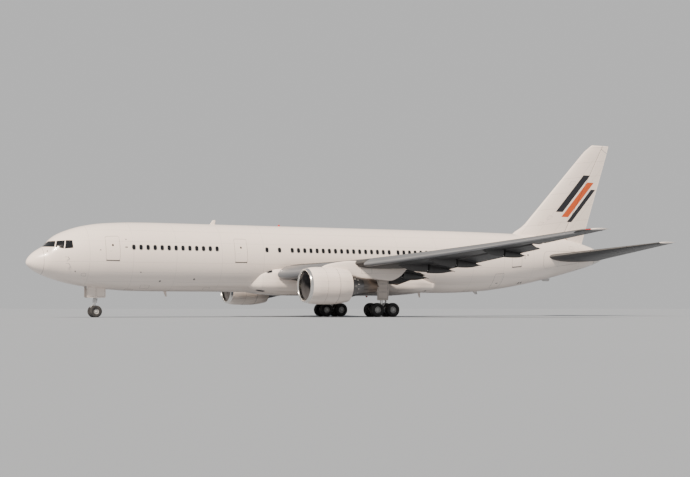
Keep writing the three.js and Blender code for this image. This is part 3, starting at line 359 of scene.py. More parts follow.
def piece(name, parts, finishes, body="airframe", node=None, sharp=40.0):
    """One object of the model from its parts, smooth but for edges sharper than an angle, riding on a
    body."""
    faces, marks, start = [], [], 0
    for points, arrays, finish in parts:
        for rows in arrays:
            faces += (rows + start).tolist()
            marks += [finish] * len(rows)
        start += len(points)
    points = (np.concatenate([part[0] for part in parts]) - [0, LENGTH / 2, 0]) * SCALE
    mesh = bpy.data.meshes.new(name)
    mesh.from_pydata(points.tolist(), [], faces)
    mesh.polygons.foreach_set("material_index", marks)
    shape = bmesh.new()
    shape.from_mesh(mesh)
    bmesh.ops.remove_doubles(shape, verts=shape.verts, dist=2e-5)
    bmesh.ops.dissolve_degenerate(shape, edges=shape.edges, dist=1e-6)
    bmesh.ops.recalc_face_normals(shape, faces=shape.faces)
    shape.to_mesh(mesh)
    shape.free()
    for finish in finishes:
        mesh.materials.append(FINISHES[finish])
    mesh.shade_smooth()
    mesh.set_sharp_from_angle(angle=np.radians(sharp))
    made = added(name, mesh)
    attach(made, body)
    if node_of(name, node):
        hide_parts(node_of(name, node))


def pair(name, parts, finishes, body="airframe", node=None, sharp=40.0):
    """The same piece to port and starboard."""
    for side, made in (("left", parts), ("right", mirror(parts))):
        on = body if body == "airframe" else f"{body}_{side}"
        own = f"{node_of(name, node)}_{side}" if node_of(name, node) else None
        piece(f"{name}_{side}", made, finishes, on, own, sharp)


# Materials

class Value:
    """A socket whose number varies over a surface; arithmetic on it adds Math nodes."""

    def __init__(self, net, socket):
        self.net = net
        self.socket = socket

    def math(self, operation, *others):
        return self.net.node("Math", {"operation": operation}, dict(enumerate((self, *others))))

    def __add__(self, other):
        return self.math("ADD", other)

    __radd__ = __add__

    def __mul__(self, other):
        return self.math("MULTIPLY", other)

    __rmul__ = __mul__

    def __sub__(self, other):
        return self.math("SUBTRACT", other)

    def __rsub__(self, other):
        return self * -1 + other

    def size(self):
        return self.math("ABSOLUTE")

    def step(self, low, high):
        """0 below low, 1 above high, and a smooth rise between."""
        values = {0: self, 1: low, 2: high}
        return self.net.node("MapRange", {"interpolation_type": "SMOOTHSTEP"}, values)

    def between(self, low, high):
        """1 from low to high, with edges of 2 cm."""
        return self.step(low - 0.01, low + 0.01) - self.step(high - 0.01, high + 0.01)

    def near(self, place, width):
        """1 within half a width of a place, with a soft edge."""
        return 1 - (self - place).size().step(width * 0.35, width * 0.65)

    def near_any(self, places, width):
        """The sum of near() over several places."""
        first, *others = (self.near(place, width) for place in places)
        return sum(others, first)

    def lines(self, pitch, width):
        """1 on thin lines at every multiple of the pitch."""
        return 1 - self.math("PINGPONG", pitch / 2).step(width * 0.35, width * 0.65)


class Net:
    """The nodes of one material."""

    def __init__(self, name):
        self.material = bpy.data.materials.new(name)
        self.material.use_nodes = True
        self.tree = self.material.node_tree
        self.tree.nodes.clear()

    def node(self, kind, settings=None, values=None, out=0):
        """A node of a type: its settings first, then the values or links of its sockets."""
        made = self.tree.nodes.new("ShaderNode" + kind)
        for key, value in (settings or {}).items():
            setattr(made, key, value)
        for key, value in (values or {}).items():
            if isinstance(value, Value):
                self.tree.links.new(value.socket, made.inputs[key])
            else:
                made.inputs[key].default_value = value
        return Value(self, made.outputs[out]) if len(made.outputs) else None

    def place(self):
        """Span, station and height of the real airliner, in metres."""
        apart = self.node("SeparateXYZ", {}, {0: self.node("TexCoord", {}, {}, 3)})
        x, y, z = (Value(self, socket) for socket in apart.socket.node.outputs)
        return x * (1 / SCALE), y * (1 / SCALE) + LENGTH / 2, z * (1 / SCALE)

    def noise(self, scale, stretch=(1, 1, 1), detail=3.0):
        """Cloudy noise on the object's coordinates, stretched by dividing along an axis."""
        spot = self.node("Mapping", {}, {0: self.node("TexCoord", {}, {}, 3), 3: stretch})
        return self.node("TexNoise", {}, {"Vector": spot, "Scale": scale, "Detail": detail})

    def mix(self, factor, a, b):
        """Colour a where the factor is 0 and b where it is 1."""
        full = [(*c, 1.0) if isinstance(c, tuple) else c for c in (a, b)]
        return self.node("Mix", {"data_type": "RGBA"}, {0: factor, 6: full[0], 7: full[1]}, 2)

    def surface(self, color, rough, height=None, metallic=0.0, coat=0.0, bump=0.002, shine=0.5):
        """The finished shader; height, in metres times bump, gives the relief."""
        values = {"Base Color": color, "Roughness": rough, "Metallic": metallic, "Coat Weight": coat,
                  "Specular IOR Level": shine}
        if height is not None:
            values["Normal"] = self.node("Bump", {}, {"Strength": 1.0, "Distance": bump, "Height": height})
        shader = self.node("BsdfPrincipled", {}, values)
        self.node("OutputMaterial", {}, {0: shader})
        return self.material


def varied(net, color, amount, scale, stretch=(1, 1, 1)):
    """A colour made a little darker and lighter in clouds."""
    darker = tuple(c * (1 - amount) for c in color)
    lighter = tuple(min(1.0, c * (1 + amount)) for c in color)
    return net.mix(net.noise(scale, stretch), darker, lighter)


# Joints of the fuselage's skin: stations of those round it, heights of those along it
FRAME_STATIONS = (4.35, 7.7, 11.2, 15.0, 18.6, 30.9, 34.7, 38.4, 41.6, 44.9, 47.9, 50.6)
LAP_HEIGHTS = (2.75, 3.45, 4.22, 5.82, 6.72)
WHITE = (0.87, 0.775, 0.71)
CHARCOAL = (0.008, 0.008, 0.012)
ORANGE = (0.56, 0.085, 0.01)
# Bars of the fin's design: first and last place across their slant, lowest and highest height, colour
TAIL_BARS = [
    (39.75, 40.55, 9.5, 13.0, CHARCOAL),
    (40.8, 41.6, 9.05, 12.35, ORANGE),
    (41.85, 42.4, 8.6, 11.7, CHARCOAL),
]


def white_paint():
    """White paint on riveted skins: soft clouds, frame and lap joints, streaks of dirt and a painted shade
    under the belly.
    """
    net = Net("white_paint")
    x, s, z = net.place()
    color = varied(net, WHITE, 0.025, 0.9, (1, 0.35, 1))
    side = x.size().step(0.9, 1.6)
    seams = s.near_any(FRAME_STATIONS, 0.03).math("MAXIMUM", z.near_any(LAP_HEIGHTS, 0.022) * side)
    color = net.mix(seams * 0.34, color, (0.42, 0.41, 0.4))
    # Darker and browner towards the bottom: the streaks are dirt, and the even part, 0.16, is painted shade
    # over the whole belly.
    low = 1 - z.step(2.0, 3.9)
    streaks = net.noise(2.2, (1.6, 0.07, 1.6), 6.0).step(0.42, 0.78)
    color = net.mix(low * (streaks * 0.36 + 0.16), color, (0.32, 0.26, 0.22))
    rivets = s.lines(0.12, 0.03) * z.lines(0.45, 0.03) * side
    wear = net.noise(7, (1, 0.3, 1), 5.0)
    rough = wear * 0.1 + low * 0.18 + 0.24
    return net.surface(color, rough, seams * -1 - rivets * 0.35 + wear * 0.08, coat=0.35)


def tail_paint():
    """White paint with a plain slanted design: three bars along the fin's sweep, cut off level."""
    net = Net("tail_paint")
    _, s, z = net.place()
    color = varied(net, WHITE, 0.02, 1.1)
    across = s - z * 0.93
    for first, last, low, high, tone in TAIL_BARS:
        color = net.mix(across.between(first, last) * z.between(low, high), color, tone)
    ribs = (z - s * 0.12).lines(1.32, 0.024).math("MAXIMUM", across.lines(1.65, 0.024))
    hinge = (s - z * 0.5562).near(45.325, 0.055)
    color = net.mix((ribs * 0.3).math("MAXIMUM", hinge * 0.7), color, (0.03, 0.03, 0.03))
    wear = net.noise(6, (1, 1, 1), 4.0)
    return net.surface(color, wear * 0.1 + 0.25, ribs * -0.7 + wear * 0.08, coat=0.35)


def grey_paint():
    """Satin grey paint of the wings, darkened to near black as painted shade: spanwise and chordwise joints,
    and dirt streaked aft.
    """
    net = Net("grey_paint")
    x, s, z = net.place()
    # The base colour is painted shade: the real paint is light grey, and this near black grey stands in for
    # the shade under the wings, on both skins.
    color = varied(net, (0.046, 0.045, 0.046), 0.06, 0.8, (1, 0.5, 1))
    ribs = x.size().lines(1.16, 0.024)
    spars = (s - x.size() * 0.59).lines(1.05, 0.024)
    seams = ribs.math("MAXIMUM", spars)
    color = net.mix(seams * 0.7, color, (0.014, 0.014, 0.014))
    streaks = net.noise(3.5, (2.4, 0.14, 1), 6.0).step(0.5, 0.8)
    color = net.mix(streaks * 0.4, color, (0.062, 0.058, 0.053))
    rivets = s.lines(0.1, 0.028) * x.lines(0.29, 0.028)
    wear = net.noise(9, (1, 1, 1), 4.0)
    rough = wear * 0.14 + streaks * 0.1 + 0.36
    return net.surface(color, rough, seams * -0.6 - rivets * 0.3 + wear * 0.1)


def metal(name, color, rough, grain=(1, 1, 1), tint=None, metallic=1.0):
    """Bare metal brushed along an axis, with clouds of tarnish."""
    net = Net(name)
    shade = varied(net, color, 0.1, 2.0, grain)
    if tint:
        shade = net.mix(net.noise(1.4, (1, 0.6, 1), 4.0).step(0.4, 0.7), shade, tint)
    brush = net.noise(26, grain, 6.0)
    return net.surface(shade, brush * 0.16 + rough, brush, metallic, bump=0.0006)


def plain(name, color, rough, coat=0.0, metallic=0.0, amount=0.08, bump=0.0008, shine=0.5):
    """A finish of one colour, a little clouded and grained."""
    net = Net(name)
    grain = net.noise(54, (1, 1, 1), 5.0)
    shade = varied(net, color, amount, 6.0)
    return net.surface(shade, grain * 0.12 + rough, grain, metallic, coat, bump, shine)


def hot_metal():
    """Nozzle metal tinted by heat: straw to bronze to blue grey from front to back, with soot in streaks."""
    net = Net("hot_metal")
    _, s, _ = net.place()
    color = net.mix(s.step(24.5, 25.3), (0.15, 0.138, 0.132), (0.18, 0.142, 0.118))
    color = net.mix(s.step(25.7, 26.1), color, (0.1, 0.085, 0.08))
    soot = net.noise(5, (2.5, 0.3, 2.5), 6.0)
    color = net.mix(soot.step(0.45, 0.8) * 0.6, color, (0.035, 0.03, 0.028))
    return net.surface(color, soot * 0.25 + 0.28, soot, 0.85, bump=0.001)


def spinner_paint():
    """Dark satin spinner and blades' root with a pale spiral round the engine's axis."""
    net = Net("spinner_paint")
    x, _, z = net.place()
    out = x.size() - ENGINE[0]
    up = z - ENGINE[2]
    radius = (out * out + up * up).math("SQRT")
    around = up.math("ARCTAN2", out) * (1 / TURN)
    turn = (around + radius * 2.6).math("FRACT")
    mark = turn.near(0.5, 0.22) * radius.step(0.05, 0.07) * (1 - radius.step(0.3, 0.33))
    color = net.mix(mark, (0.05, 0.05, 0.055), (0.75, 0.74, 0.7))
    grain = net.noise(30)
    return net.surface(color, grain * 0.1 + 0.3, grain, 0.2, bump=0.0005)


def tyre_rubber():
    """Matte rubber: dusty clouds and a fine grain."""
    net = Net("tyre_rubber")
    dust = net.noise(5, (1, 1, 1), 5.0)
    color = net.mix(dust.step(0.35, 0.8), (0.018, 0.018, 0.02), (0.055, 0.052, 0.05))
    grain = net.noise(70, (1, 1, 1), 3.0)
    return net.surface(color, dust * 0.15 + 0.72, grain, bump=0.0008)


FINISHES = {"white": white_paint(), "tail": tail_paint(), "grey": grey_paint(), "hot_metal": hot_metal(),
            "spinner": spinner_paint(), "rubber": tyre_rubber()}
# Bare metals: colour, roughness, stretch of the grain, tint, metallic
for name, *values in (
    ("slat_metal", (0.34, 0.34, 0.35), 0.24, (0.3, 1, 1), None, 0.85),
    ("lip_metal", (0.74, 0.72, 0.69), 0.1, (1, 0.2, 1)),
    ("core_metal", (0.2, 0.195, 0.2), 0.3, (1, 0.25, 1), (0.13, 0.12, 0.115)),
    ("chrome", (0.7, 0.7, 0.7), 0.06, (1, 1, 0.2)),
    # The fan blades' metal is made near black as painted shade inside the inlet; real blades are bare grey
    # metal.
    ("blade_metal", (0.13, 0.13, 0.14), 0.3),
    ("pale_metal", (0.74, 0.71, 0.67), 0.3, (1, 0.3, 1), None, 0.35),
):
    FINISHES[name] = metal(name, *values)
# Plain finishes: colour, roughness, coat, metallic, depth of the clouds, bump, shine
for name, *values in (
    ("gear_paint", (0.6, 0.6, 0.6), 0.32, 0.15),
    ("wheel_paint", (0.55, 0.55, 0.54), 0.3, 0.1, 0.25),
    ("dark", (0.03, 0.031, 0.034), 0.4),
    ("seal", (0.02, 0.02, 0.021), 0.6),
    ("outline", (0.17, 0.165, 0.16), 0.5),
    ("pane", (0.008, 0.009, 0.011), 0.04, 0.0, 0.0, 0.2, 0.0001, 0.3),
    ("frame", (0.5, 0.49, 0.48), 0.35, 0.0, 0.4),
    # The lining inside the inlet, fan duct and vanes is made near black as painted shade; the real lining is
    # grey.
    ("liner", (0.055, 0.055, 0.06), 0.55),
    ("brake", (0.1, 0.085, 0.075), 0.5, 0.0, 0.7),
    ("lamp", (0.8, 0.8, 0.78), 0.05, 1.0, 0.0, 0.02),
    ("red_lens", (0.5, 0.02, 0.015), 0.08, 1.0, 0.0, 0.05),
    ("green_lens", (0.02, 0.3, 0.08), 0.08, 1.0, 0.0, 0.05),
):
    FINISHES[name] = plain(name, *values)


# Fuselage

def hull_section(s):
    """Half width, middle height and half height at a station. The curves run over the station's square root,
    which rounds the nose."""
    at = np.sqrt(np.clip(s, 0, None))
    half, crown, keel = (smooth(np.sqrt(FUSELAGE[:, 0]), FUSELAGE[:, i], at) for i in (1, 2, 3))
    return half, (crown + keel) / 2, (crown - keel) / 2


def hull(s, angle, out=0.0):
    """The fuselage's skin: an ellipse at each station, at an angle up from port, moved out square to it."""
    half, middle, tall = hull_section(np.asarray(s, float))
    across, up = np.cos(angle) / half, np.sin(angle) / tall
    length = np.hypot(across, up)
    x = half * np.cos(angle) + out * across / length
    return xyz(x, s, middle + tall * np.sin(angle) + out * up / length)


def angle_at(s, z):
    """The angle on the fuselage's port side where a height is reached."""
    _, middle, tall = hull_section(np.asarray(s, float))
    return np.arcsin(np.clip((z - middle) / tall, -1, 1))


def on_hull(s, z=None, angle=None):
    """A lift for plates and rims on the skin round a station and height: across is aft, up is up the skin."""
    start = angle_at(s, z) if angle is None else angle
    half, _, tall = hull_section(np.asarray(s, float))
    reach = np.hypot(half * np.sin(start), tall * np.cos(start))
    return lambda across, up, level: hull(s + across, start + up / reach, level)


HULL_ANGLES = circle(112)


def hull_shell(start, end, count, finish=0):
    """A stretch of the skin on a grid of stations, closer together at the nose."""
    stations = np.linspace(np.sqrt(start), np.sqrt(end), count) ** 2
    return grid(hull(stations[:, None], HULL_ANGLES), caps=True, finish=finish)


def hull_band(s, width, high, finish):
    """A thin raised ring round the fuselage at a station."""
    half = width / 2
    rows = [(-half, -SUNK), (-half, high), (half, high), (half, -SUNK), (-half, -SUNK)]
    rings = [hull(s + shift + 0 * HULL_ANGLES, HULL_ANGLES, level) for shift, level in rows]
    return grid(rings, finish=finish)


def build_fuselage():
    piece("radome_skin", [hull_shell(0.0004, RADOME_END - 0.007, 40)], ["white"])
    skin = [hull_shell(RADOME_END + 0.007, CONE_START - 0.01, 320), hull_band(RADOME_END, 0.018, 0.0015, 1)]
    piece("fuselage_skin", skin, ["white", "outline"])
    rings = [hull(s, HULL_ANGLES) for s in np.linspace(CONE_START + 0.01, 53.73, 16)]
    # The exhaust at the very end: station and radius of its lip and of the hole behind it
    for s, radius in ((53.76, 0.31), (53.775, 0.285), (53.765, 0.262), (53.4, 0.23), (53.35, 0.05)):
        rings.append(xyz(radius * np.cos(HULL_ANGLES), s, 5.46 + 1.08 * radius * np.sin(HULL_ANGLES)))
    piece("tail_cone_skin", [*two_tone(rings, 2, 1), hull_band(CONE_START, 0.03, 0.002, 2)],
          ["pale_metal", "dark", "seal"])


# Cabin windows: height of their middle, and the rows as first station, number, pitch
WINDOW_HEIGHT = 5.39
WINDOW_ROWS = [(7.71, 13, 0.57), (18.85, 2, 1.11), (21.09, 17, 0.56), (30.9, 19, 0.554)]
# Doors: station, height of the middle, width, height
DOORS = [(6.08, 5.33, 1.07, 1.9), (16.6, 5.33, 1.05, 1.9), (42.97, 5.33, 1.07, 1.9)]
CARGO_PORT = [(41.26, 3.02, 0.95, 1.7)]
CARGO_STARBOARD = [(12.1, 3.35, 3.4, 1.75), (35.9, 3.35, 1.78, 1.75)]


def build_windows():
    """Rows of small rounded windows, each a dark pane in a thin frame."""
    outline = rounded(0.27, 0.4, 0.12, 5, 0)
    parts = []
    for s in np.concatenate([first + pitch * np.arange(number) for first, number, pitch in WINDOW_ROWS]):
        lift = on_hull(s, WINDOW_HEIGHT)
        parts += [plate(outline, lift, 0.004, finish=1), rim(outline, 0.028, lift, 0.009)]
    pair("cabin_windows", parts, ["frame", "pane"], sharp=20)


def tab(s, z, shape, finish, high=0.006, bevel=0.002):
    """A small rounded plate on the fuselage round a station and height; shape holds what rounded() takes."""
    return plate(rounded(*shape), on_hull(s, z), high, bevel, finish)


def door_parts(s, z, width, height, cabin=True):
    """A door's seam, the dark sill below it, and its handle; a cabin door also has a small pane."""
    parts = [rim(rounded(width, height, 0.13, 5, 12), 0.022, on_hull(s, z), 0.004),
             tab(s, z - height / 2 - 0.035, (width, 0.055, 0.02, 3, 8), 3, 0.012, 0.003)]
    if cabin:
        return parts + [tab(s, z + height * 0.1, (0.14, 0.18, 0.065, 5, 0), 1),
                        tab(s - width * 0.18, z - height * 0.12, (0.28, 0.09, 0.03, 4, 1), 2)]
    return parts + [tab(s, z - height * 0.36, (0.22, 0.08, 0.03, 4, 1), 2)]


def build_doors():
    for side, cargo in (("left", CARGO_PORT), ("right", CARGO_STARBOARD)):
        parts = [part for door in DOORS for part in door_parts(*door)]
        parts += [part for door in cargo for part in door_parts(*door, cabin=False)]
        made = parts if side == "left" else mirror(parts)
        piece(f"door_outlines_{side}", made, ["outline", "pane", "white", "seal"])


# Access panels: station, angle up from port in degrees, width, height
HULL_PANELS = [(7.9, -78, 0.62, 0.5), (14.2, -66, 0.5, 0.4), (38.6, -72, 0.6, 0.4), (44.03, -62, 0.42, 0.34),
               (51.3, -84, 2.0, 0.62), (4.0, -40, 0.32, 0.26), (9.0, -62, 0.7, 0.5), (49.6, 28, 0.5, 0.34)]
# Hatches on the fin: station, height, width, height of the hatch
FIN_PANELS = [(50.55, 12.2, 0.5, 0.34), (47.9, 8.95, 0.42, 0.3), (46.9, 8.35, 0.4, 0.3)]


def build_panels():
    """Outlines of panels and hatches on the fuselage and the fin, and of the plate round the tailplane."""
    parts = [rim(rounded(width, height, 0.05, 4, 6), 0.014, on_hull(s, angle=np.radians(degrees)), 0.003)
             for s, degrees, width, height in HULL_PANELS]
    parts.append(rim(rounded(7.3, 1.15, 0.4, 6, 24), 0.02, on_hull(49.7, 5.28), 0.005))
    for s, z, width, height in FIN_PANELS:
        def lift(across, up, level, s=s, z=z):
            station = s + across + 0.9 * up
            return xyz(FIN_SKIN.heights(z + up, station)[0] + level, station, z + up)

        parts.append(rim(rounded(width, height, 0.04, 4, 3), 0.012, lift, 0.003))
    pair("panel_outlines", parts, ["outline"])


# Cockpit panes: lower and upper edge as (station, height) at the front and at the back
COCKPIT_PANES = [
    ([(1.19, 5.37), (1.84, 5.33)], [(1.63, 5.79), (1.99, 5.8)]),
    ([(1.91, 5.32), (2.46, 5.22)], [(2.06, 5.805), (2.61, 5.845)]),
    ([(2.53, 5.215), (3.13, 5.27)], [(2.68, 5.86), (3.13, 5.855)]),
]


def cockpit_pane(lower, upper, front):
    """A pane on the skin between two edges; each edge runs from its front to its back point. On the front
    pane the station grows with the square of the way, which is a level line round the nose."""
    along = np.concatenate([[0], np.linspace(0, 1, 18), [1]])
    up = np.concatenate([[0], np.linspace(0, 1, 10), [1]])[:, None]
    way = along**2 if front else along
    low, high = (np.array(edge[0])[:, None] + np.outer(np.subtract(edge[1], edge[0]), way)
                 for edge in (lower, upper))
    s = low[0] * (1 - up) + high[0] * up
    z = low[1] * (1 - up) + high[1] * up
    edge = np.zeros(s.shape, bool)
    edge[[0, -1]] = edge[:, [0, -1]] = True
    angle = np.minimum(angle_at(s, z), np.radians(87.6))
    return grid(hull(s, angle, np.where(edge, -SUNK, 0.012)), wrap=False)


def build_cockpit():
    """Three panes on each side, and a wiper's arm on the front one."""
    parts = [cockpit_pane(lower, upper, i == 0) for i, (lower, upper) in enumerate(COCKPIT_PANES)]
    way = ((1.5, 80, 0.03), (1.62, 66, 0.035), (1.72, 52, 0.03))
    arm = [hull(s, np.radians(degrees), out) for s, degrees, out in way]
    parts.append(tube(bend(arm, 8), 0.012, 8, 1))
    pair("cockpit_panes", parts, ["pane", "dark"], node="cockpit_windows")


def blade(foot, up, chord, tall, thick=0.04, sweep=0.4, finish=0):
    """A blade aerial: thin ovals that shrink and lean aft as they rise from the foot; up is 1 or -1."""
    angle = circle(20)
    rings = []
    for share in np.linspace(0, 1, 6):
        oval = xyz(up * thick / 2 * np.sin(angle), chord * (1 - 0.45 * share) / 2 * np.cos(angle), 0)
        rings.append(oval + foot + [0, chord * sweep * share, up * tall * share])
    return grid(rings, caps=True, finish=finish)


def dome(centre, radius, tall, axis=2, sign=1, finish=0):
    """A low round lens on a thin base."""
    share = np.linspace(0, np.pi / 2, 8)
    profile = np.stack([sign * tall * np.sin(share), radius * np.cos(share)], -1)
    return lathe(profile, centre, axis, 24, finish)


# Aerials and drain masts under the belly: station, chord, height, finish
LOW_BLADES = [(11.1, 0.26, 0.42, 0), (34.3, 0.26, 0.42, 0), (40.0, 0.46, 0.26, 2)]
# Ports and vents: station, height, width, height of the port
PORTS = [
    (7.13, 5.38, 0.22, 0.1), (10.06, 2.81, 0.17, 0.17), (12.84, 2.98, 0.17, 0.17), (44.21, 5.41, 0.17, 0.17),
    (41.28, 2.9, 0.24, 0.1), (43.9, 2.95, 0.16, 0.24), (44.16, 2.98, 0.16, 0.24), (1.36, 5.02, 0.08, 0.12),
    (3.35, 3.51, 0.1, 0.1), (5.13, 5.14, 0.1, 0.1), (7.15, 5.98, 0.1, 0.1), (8.35, 3.48, 0.12, 0.08),
    (44.37, 5.87, 0.1, 0.1), (43.85, 5.14, 0.1, 0.1),
]


def build_fittings():
    """Aerials, drain masts, probes, beacons, the tail skid and the small vents."""
    parts = [blade(hull(15.1, np.pi / 2, -SUNK), 1, 0.44, 0.38)]
    parts += [blade(hull(s, -np.pi / 2, -SUNK), -1, chord, tall, finish=finish)
              for s, chord, tall, finish in LOW_BLADES]
    parts.append(dome(hull(21.0, np.pi / 2, -0.01), 0.1, 0.16, finish=1))
    parts.append(dome((0, 29.2, 1.76), 0.1, 0.14, sign=-1, finish=1))
    parts.append(blade([0, 47.5, 3.42], -1, 1.2, 0.26, 0.14, 0.12, 2))
    piece("body_fittings", parts, ["white", "red_lens", "frame"])
    probes = []
    for s, z in ((2.75, 4.58), (2.8, 4.12)):
        root, out = (hull(s, angle_at(s, z), level) for level in (-SUNK, 0.12))
        probes.append(tube(bend([root, out, out + [0, -0.28, 0]], 12), [0.02] * 6 + [0.014] * 6, 10))
    probes += [tab(s, z, (wide, tall, min(wide, tall) * 0.42, 4, 0), 1) for s, z, wide, tall in PORTS]
    pair("probes_and_ports", probes, ["frame", "outline"])


# Wing to body fairing: station, half width, top, bottom
BELLY = np.array([
    [17.6, 1.5, 3.4, 2.3],
    [18.6, 2.3, 4.0, 1.98],
    [19.9, 2.6, 4.3, 1.82],
    [21.5, 2.63, 4.4, 1.75],
    [30.6, 2.63, 4.2, 1.75],
    [32.4, 2.55, 3.7, 1.85],
    [34.6, 1.9, 3.1, 2.1],
])
# Length of the rounded ends ahead of and behind the table
BELLY_NOSE = 0.45
BELLY_TAIL = 0.9
# Inlets and outlets: station, angle up from port in degrees, width, height, finish of the lip
BELLY_HOLES = [(18.6, -52, 0.6, 0.26, 4), (33.85, -38, 0.24, 0.24, 0), (30.9, -76, 0.3, 0.2, 0)]
# Outlines of the gear bays' doors and of panels: station, angle in degrees, width, height
BELLY_PANELS = [
    (28.1, -80.5, 3.1, 1.05), (28.1, -57, 3.1, 0.62), (24.6, -76, 2.6, 0.7), (20.1, -76, 1.2, 0.6),
    (32.3, -74, 1.5, 0.6),
]


def belly(s, angle, out=0.0):
    """The fairing's skin: superellipse sections whose size follows smooth curves, closed down to the fuselage
    at both ends; angle runs up from port, and out moves a point away from the section's middle."""
    s = np.asarray(s, float)
    front, back = BELLY[[0, -1], 0]
    half, top, bottom = (smooth(BELLY[:, 0], BELLY[:, i], np.clip(s, front, back)) for i in (1, 2, 3))
    closing = np.where(s < front, (front - s) / BELLY_NOSE, np.where(s > back, (s - back) / BELLY_TAIL, 0))
    size = np.sqrt(np.clip(1 - closing**2, 0, 1))
    across, up = blunt(angle, 0.62)
    x = half * (0.75 + 0.25 * size) * size * across
    z = (top - bottom) / 2 * size * up
    away = out / np.maximum(np.hypot(x, z), 1e-6)
    return xyz(x * (1 + away), s, (top + bottom) / 2 + 0.25 * closing + z * (1 + away))


def on_belly(s, degrees):
    """A lift on the fairing's skin: across is aft, up is up along the skin from an angle."""
    start = np.radians(degrees)
    step = np.linalg.norm(belly(s, start + 0.02) - belly(s, start - 0.02)) / 0.04
    return lambda across, up, level: belly(s + across, start + up / step, level)


def build_belly():
    """The fairing, with air inlets, louvres and outlets drawn as dark plates of painted shade, a lamp, and
    the outlines of the gear bays' doors.
    """
    front, back = BELLY[[0, -1], 0]
    s = np.concatenate([front - BELLY_NOSE + BELLY_NOSE * cosines(8)[:-1], np.linspace(front, back, 110),
                        back + BELLY_TAIL * cosines(10)[1:]])
    piece("belly_fairing_skin", [grid(belly(s[:, None], circle(96)))], ["white"], node="wing_body_fairing")
    parts = []
    for at, degrees, width, height, lip in BELLY_HOLES:
        outline = rounded(width, height, min(width, height) * 0.45, 6, 2)
        lift = on_belly(at, degrees)
        # Each opening is a dark plate on the skin: painted shade standing in for the hole.
        parts += [plate(outline, lift, 0.004, finish=1), rim(outline, 0.035, lift, 0.018, lip)]
    glass, lift = rounded(0.46, 0.26, 0.12, 5, 2), on_belly(19.1, 24)
    parts += [plate(glass, lift, 0.006, finish=3), rim(glass, 0.035, lift, 0.014, 4)]
    louvre = rounded(0.05, 0.5, 0.02, 3, 4)
    # The louvres' slots are dark plates too: painted shade for the slots.
    parts += [plate(louvre, on_belly(at, -74), 0.006, finish=1) for at in np.arange(21.2, 22.6, 0.1)]
    parts += [rim(rounded(width, height, 0.06, 4, 14), 0.016, on_belly(at, degrees), 0.003, 2)
              for at, degrees, width, height in BELLY_PANELS]
    pair("belly_fittings", parts, ["white", "dark", "outline", "pane", "slat_metal"])


# Wings and tail

class Surface:
    """A wing, fin or tailplane: aerofoil sections on a table of planform rows."""

    def __init__(self, table, rise, camber=0.0, upright=False, tip=0.16):
        self.table = np.array(table, float)
        self.rise = rise
        self.camber = camber
        self.upright = upright
        self.tip = tip

    def edges(self, x):
        """Leading and trailing edge stations."""
        return tuple(np.interp(x, self.table[:, 0], self.table[:, i]) for i in (1, 2))

    def heights(self, x, s):
        """Upper and lower skin: four digit thickness on a sine camber, turned nose up, round at the tip."""
        leading, trailing = self.edges(x)
        incidence, thickness = (np.interp(x, self.table[:, 0], self.table[:, i]) for i in (3, 4))
        chord = trailing - leading
        share = np.clip((s - leading) / chord, 0, 1)
        curve = (0.2969 * np.sqrt(share) - 0.126 * share - 0.3516 * share**2 + 0.2843 * share**3
                 - 0.1036 * share**4)
        camber = self.camber * np.sin(np.pi * share) - share * np.tan(np.radians(incidence))
        middle = self.rise(x) + chord * camber
        outer = self.table[-1, 0]
        past = np.clip((x - outer + self.tip) / self.tip, 0, 1)
        least = np.where(share > 0.5, 0.008, 0)
        spread = np.maximum(5 * thickness * curve * chord, least) * np.sqrt(1 - past**2)
        return middle + spread, middle - spread

    def put(self, x, s, z):
        return xyz(z, s, x) if self.upright else xyz(x, s, z)


WING_SKIN = Surface(WING, lambda x: 3.333 + 0.0977 * x + 0.8 * (x / HALF_SPAN) ** 2, 0.014)
FIN_SKIN = Surface(FIN, lambda x: 0 * x, 0.0, True, 0.1)
TAIL_SKIN = Surface(TAILPLANE, lambda x: 5.02 + 0.155 * x, 0.0, False, 0.1)


def line_frame(line):
    """Unit vectors along a slanting line, as (span, station)."""
    along = np.subtract(line[1], line[0])
    return along / np.hypot(*along)


def line_station(line, x):
    (x0, s0), (x1, s1) = line
    return s0 + (x - x0) * (s1 - s0) / (x1 - x0)


def trailing_at(surface, line, x):
    """How far the trailing edge lies behind the place x of a line, square to it."""
    along = line_frame(line)
    back = 0.0
    for _ in range(6):
        back = (surface.edges(x - along[1] * back)[1] - line_station(line, x)) / along[0]
    return back


def chord_station(x, share):
    """Station at a share of the wing's chord."""
    leading, trailing = WING_SKIN.edges(x)
    return leading + share * (trailing - leading)


def behind(surface, line, x, back, level, more=0.0):
    """Points at a distance back, square to a line, from the place on it at span x. level runs from -1 on the
    lower skin to 1 on the upper, and more is added to the height. The points lean so that ends stay square to
    the rising line."""
    along = line_frame(line)
    x, back, level, more = np.broadcast_arrays(*(np.asarray(v, float) for v in (x, back, level, more)))
    px = x - along[1] * back
    ps = line_station(line, x) + along[0] * back
    base = [surface.heights(*end)[1] for end in line]
    slope = (base[1] - base[0]) / np.hypot(*np.subtract(line[1], line[0]))
    low = base[0] + (x - line[0][0]) / (line[1][0] - line[0][0]) * (base[1] - base[0])
    lean = np.zeros(x.shape)
    for _ in range(3):
        up, down = surface.heights(px + along[0] * lean, ps + along[1] * lean)
        z = (up + down) / 2 + level * (up - down) / 2 + more
        lean = (low - z) * slope
    return px + along[0] * lean, ps + along[1] * lean, z


def slat_line(spec, x):
    """Station where the slat's chord ends."""
    return np.interp(x, spec["span"], [chord_station(*end) for end in zip(spec["span"], spec["share"])])


# Points of a wing's section round the nose, ahead of the spoiler's pocket, on its floor, behind it, and below
NOSE_POINTS = 15
UPPER_POINTS = 16
FLOOR_POINTS = 7
REAR_POINTS = 5
LOWER_POINTS = 22


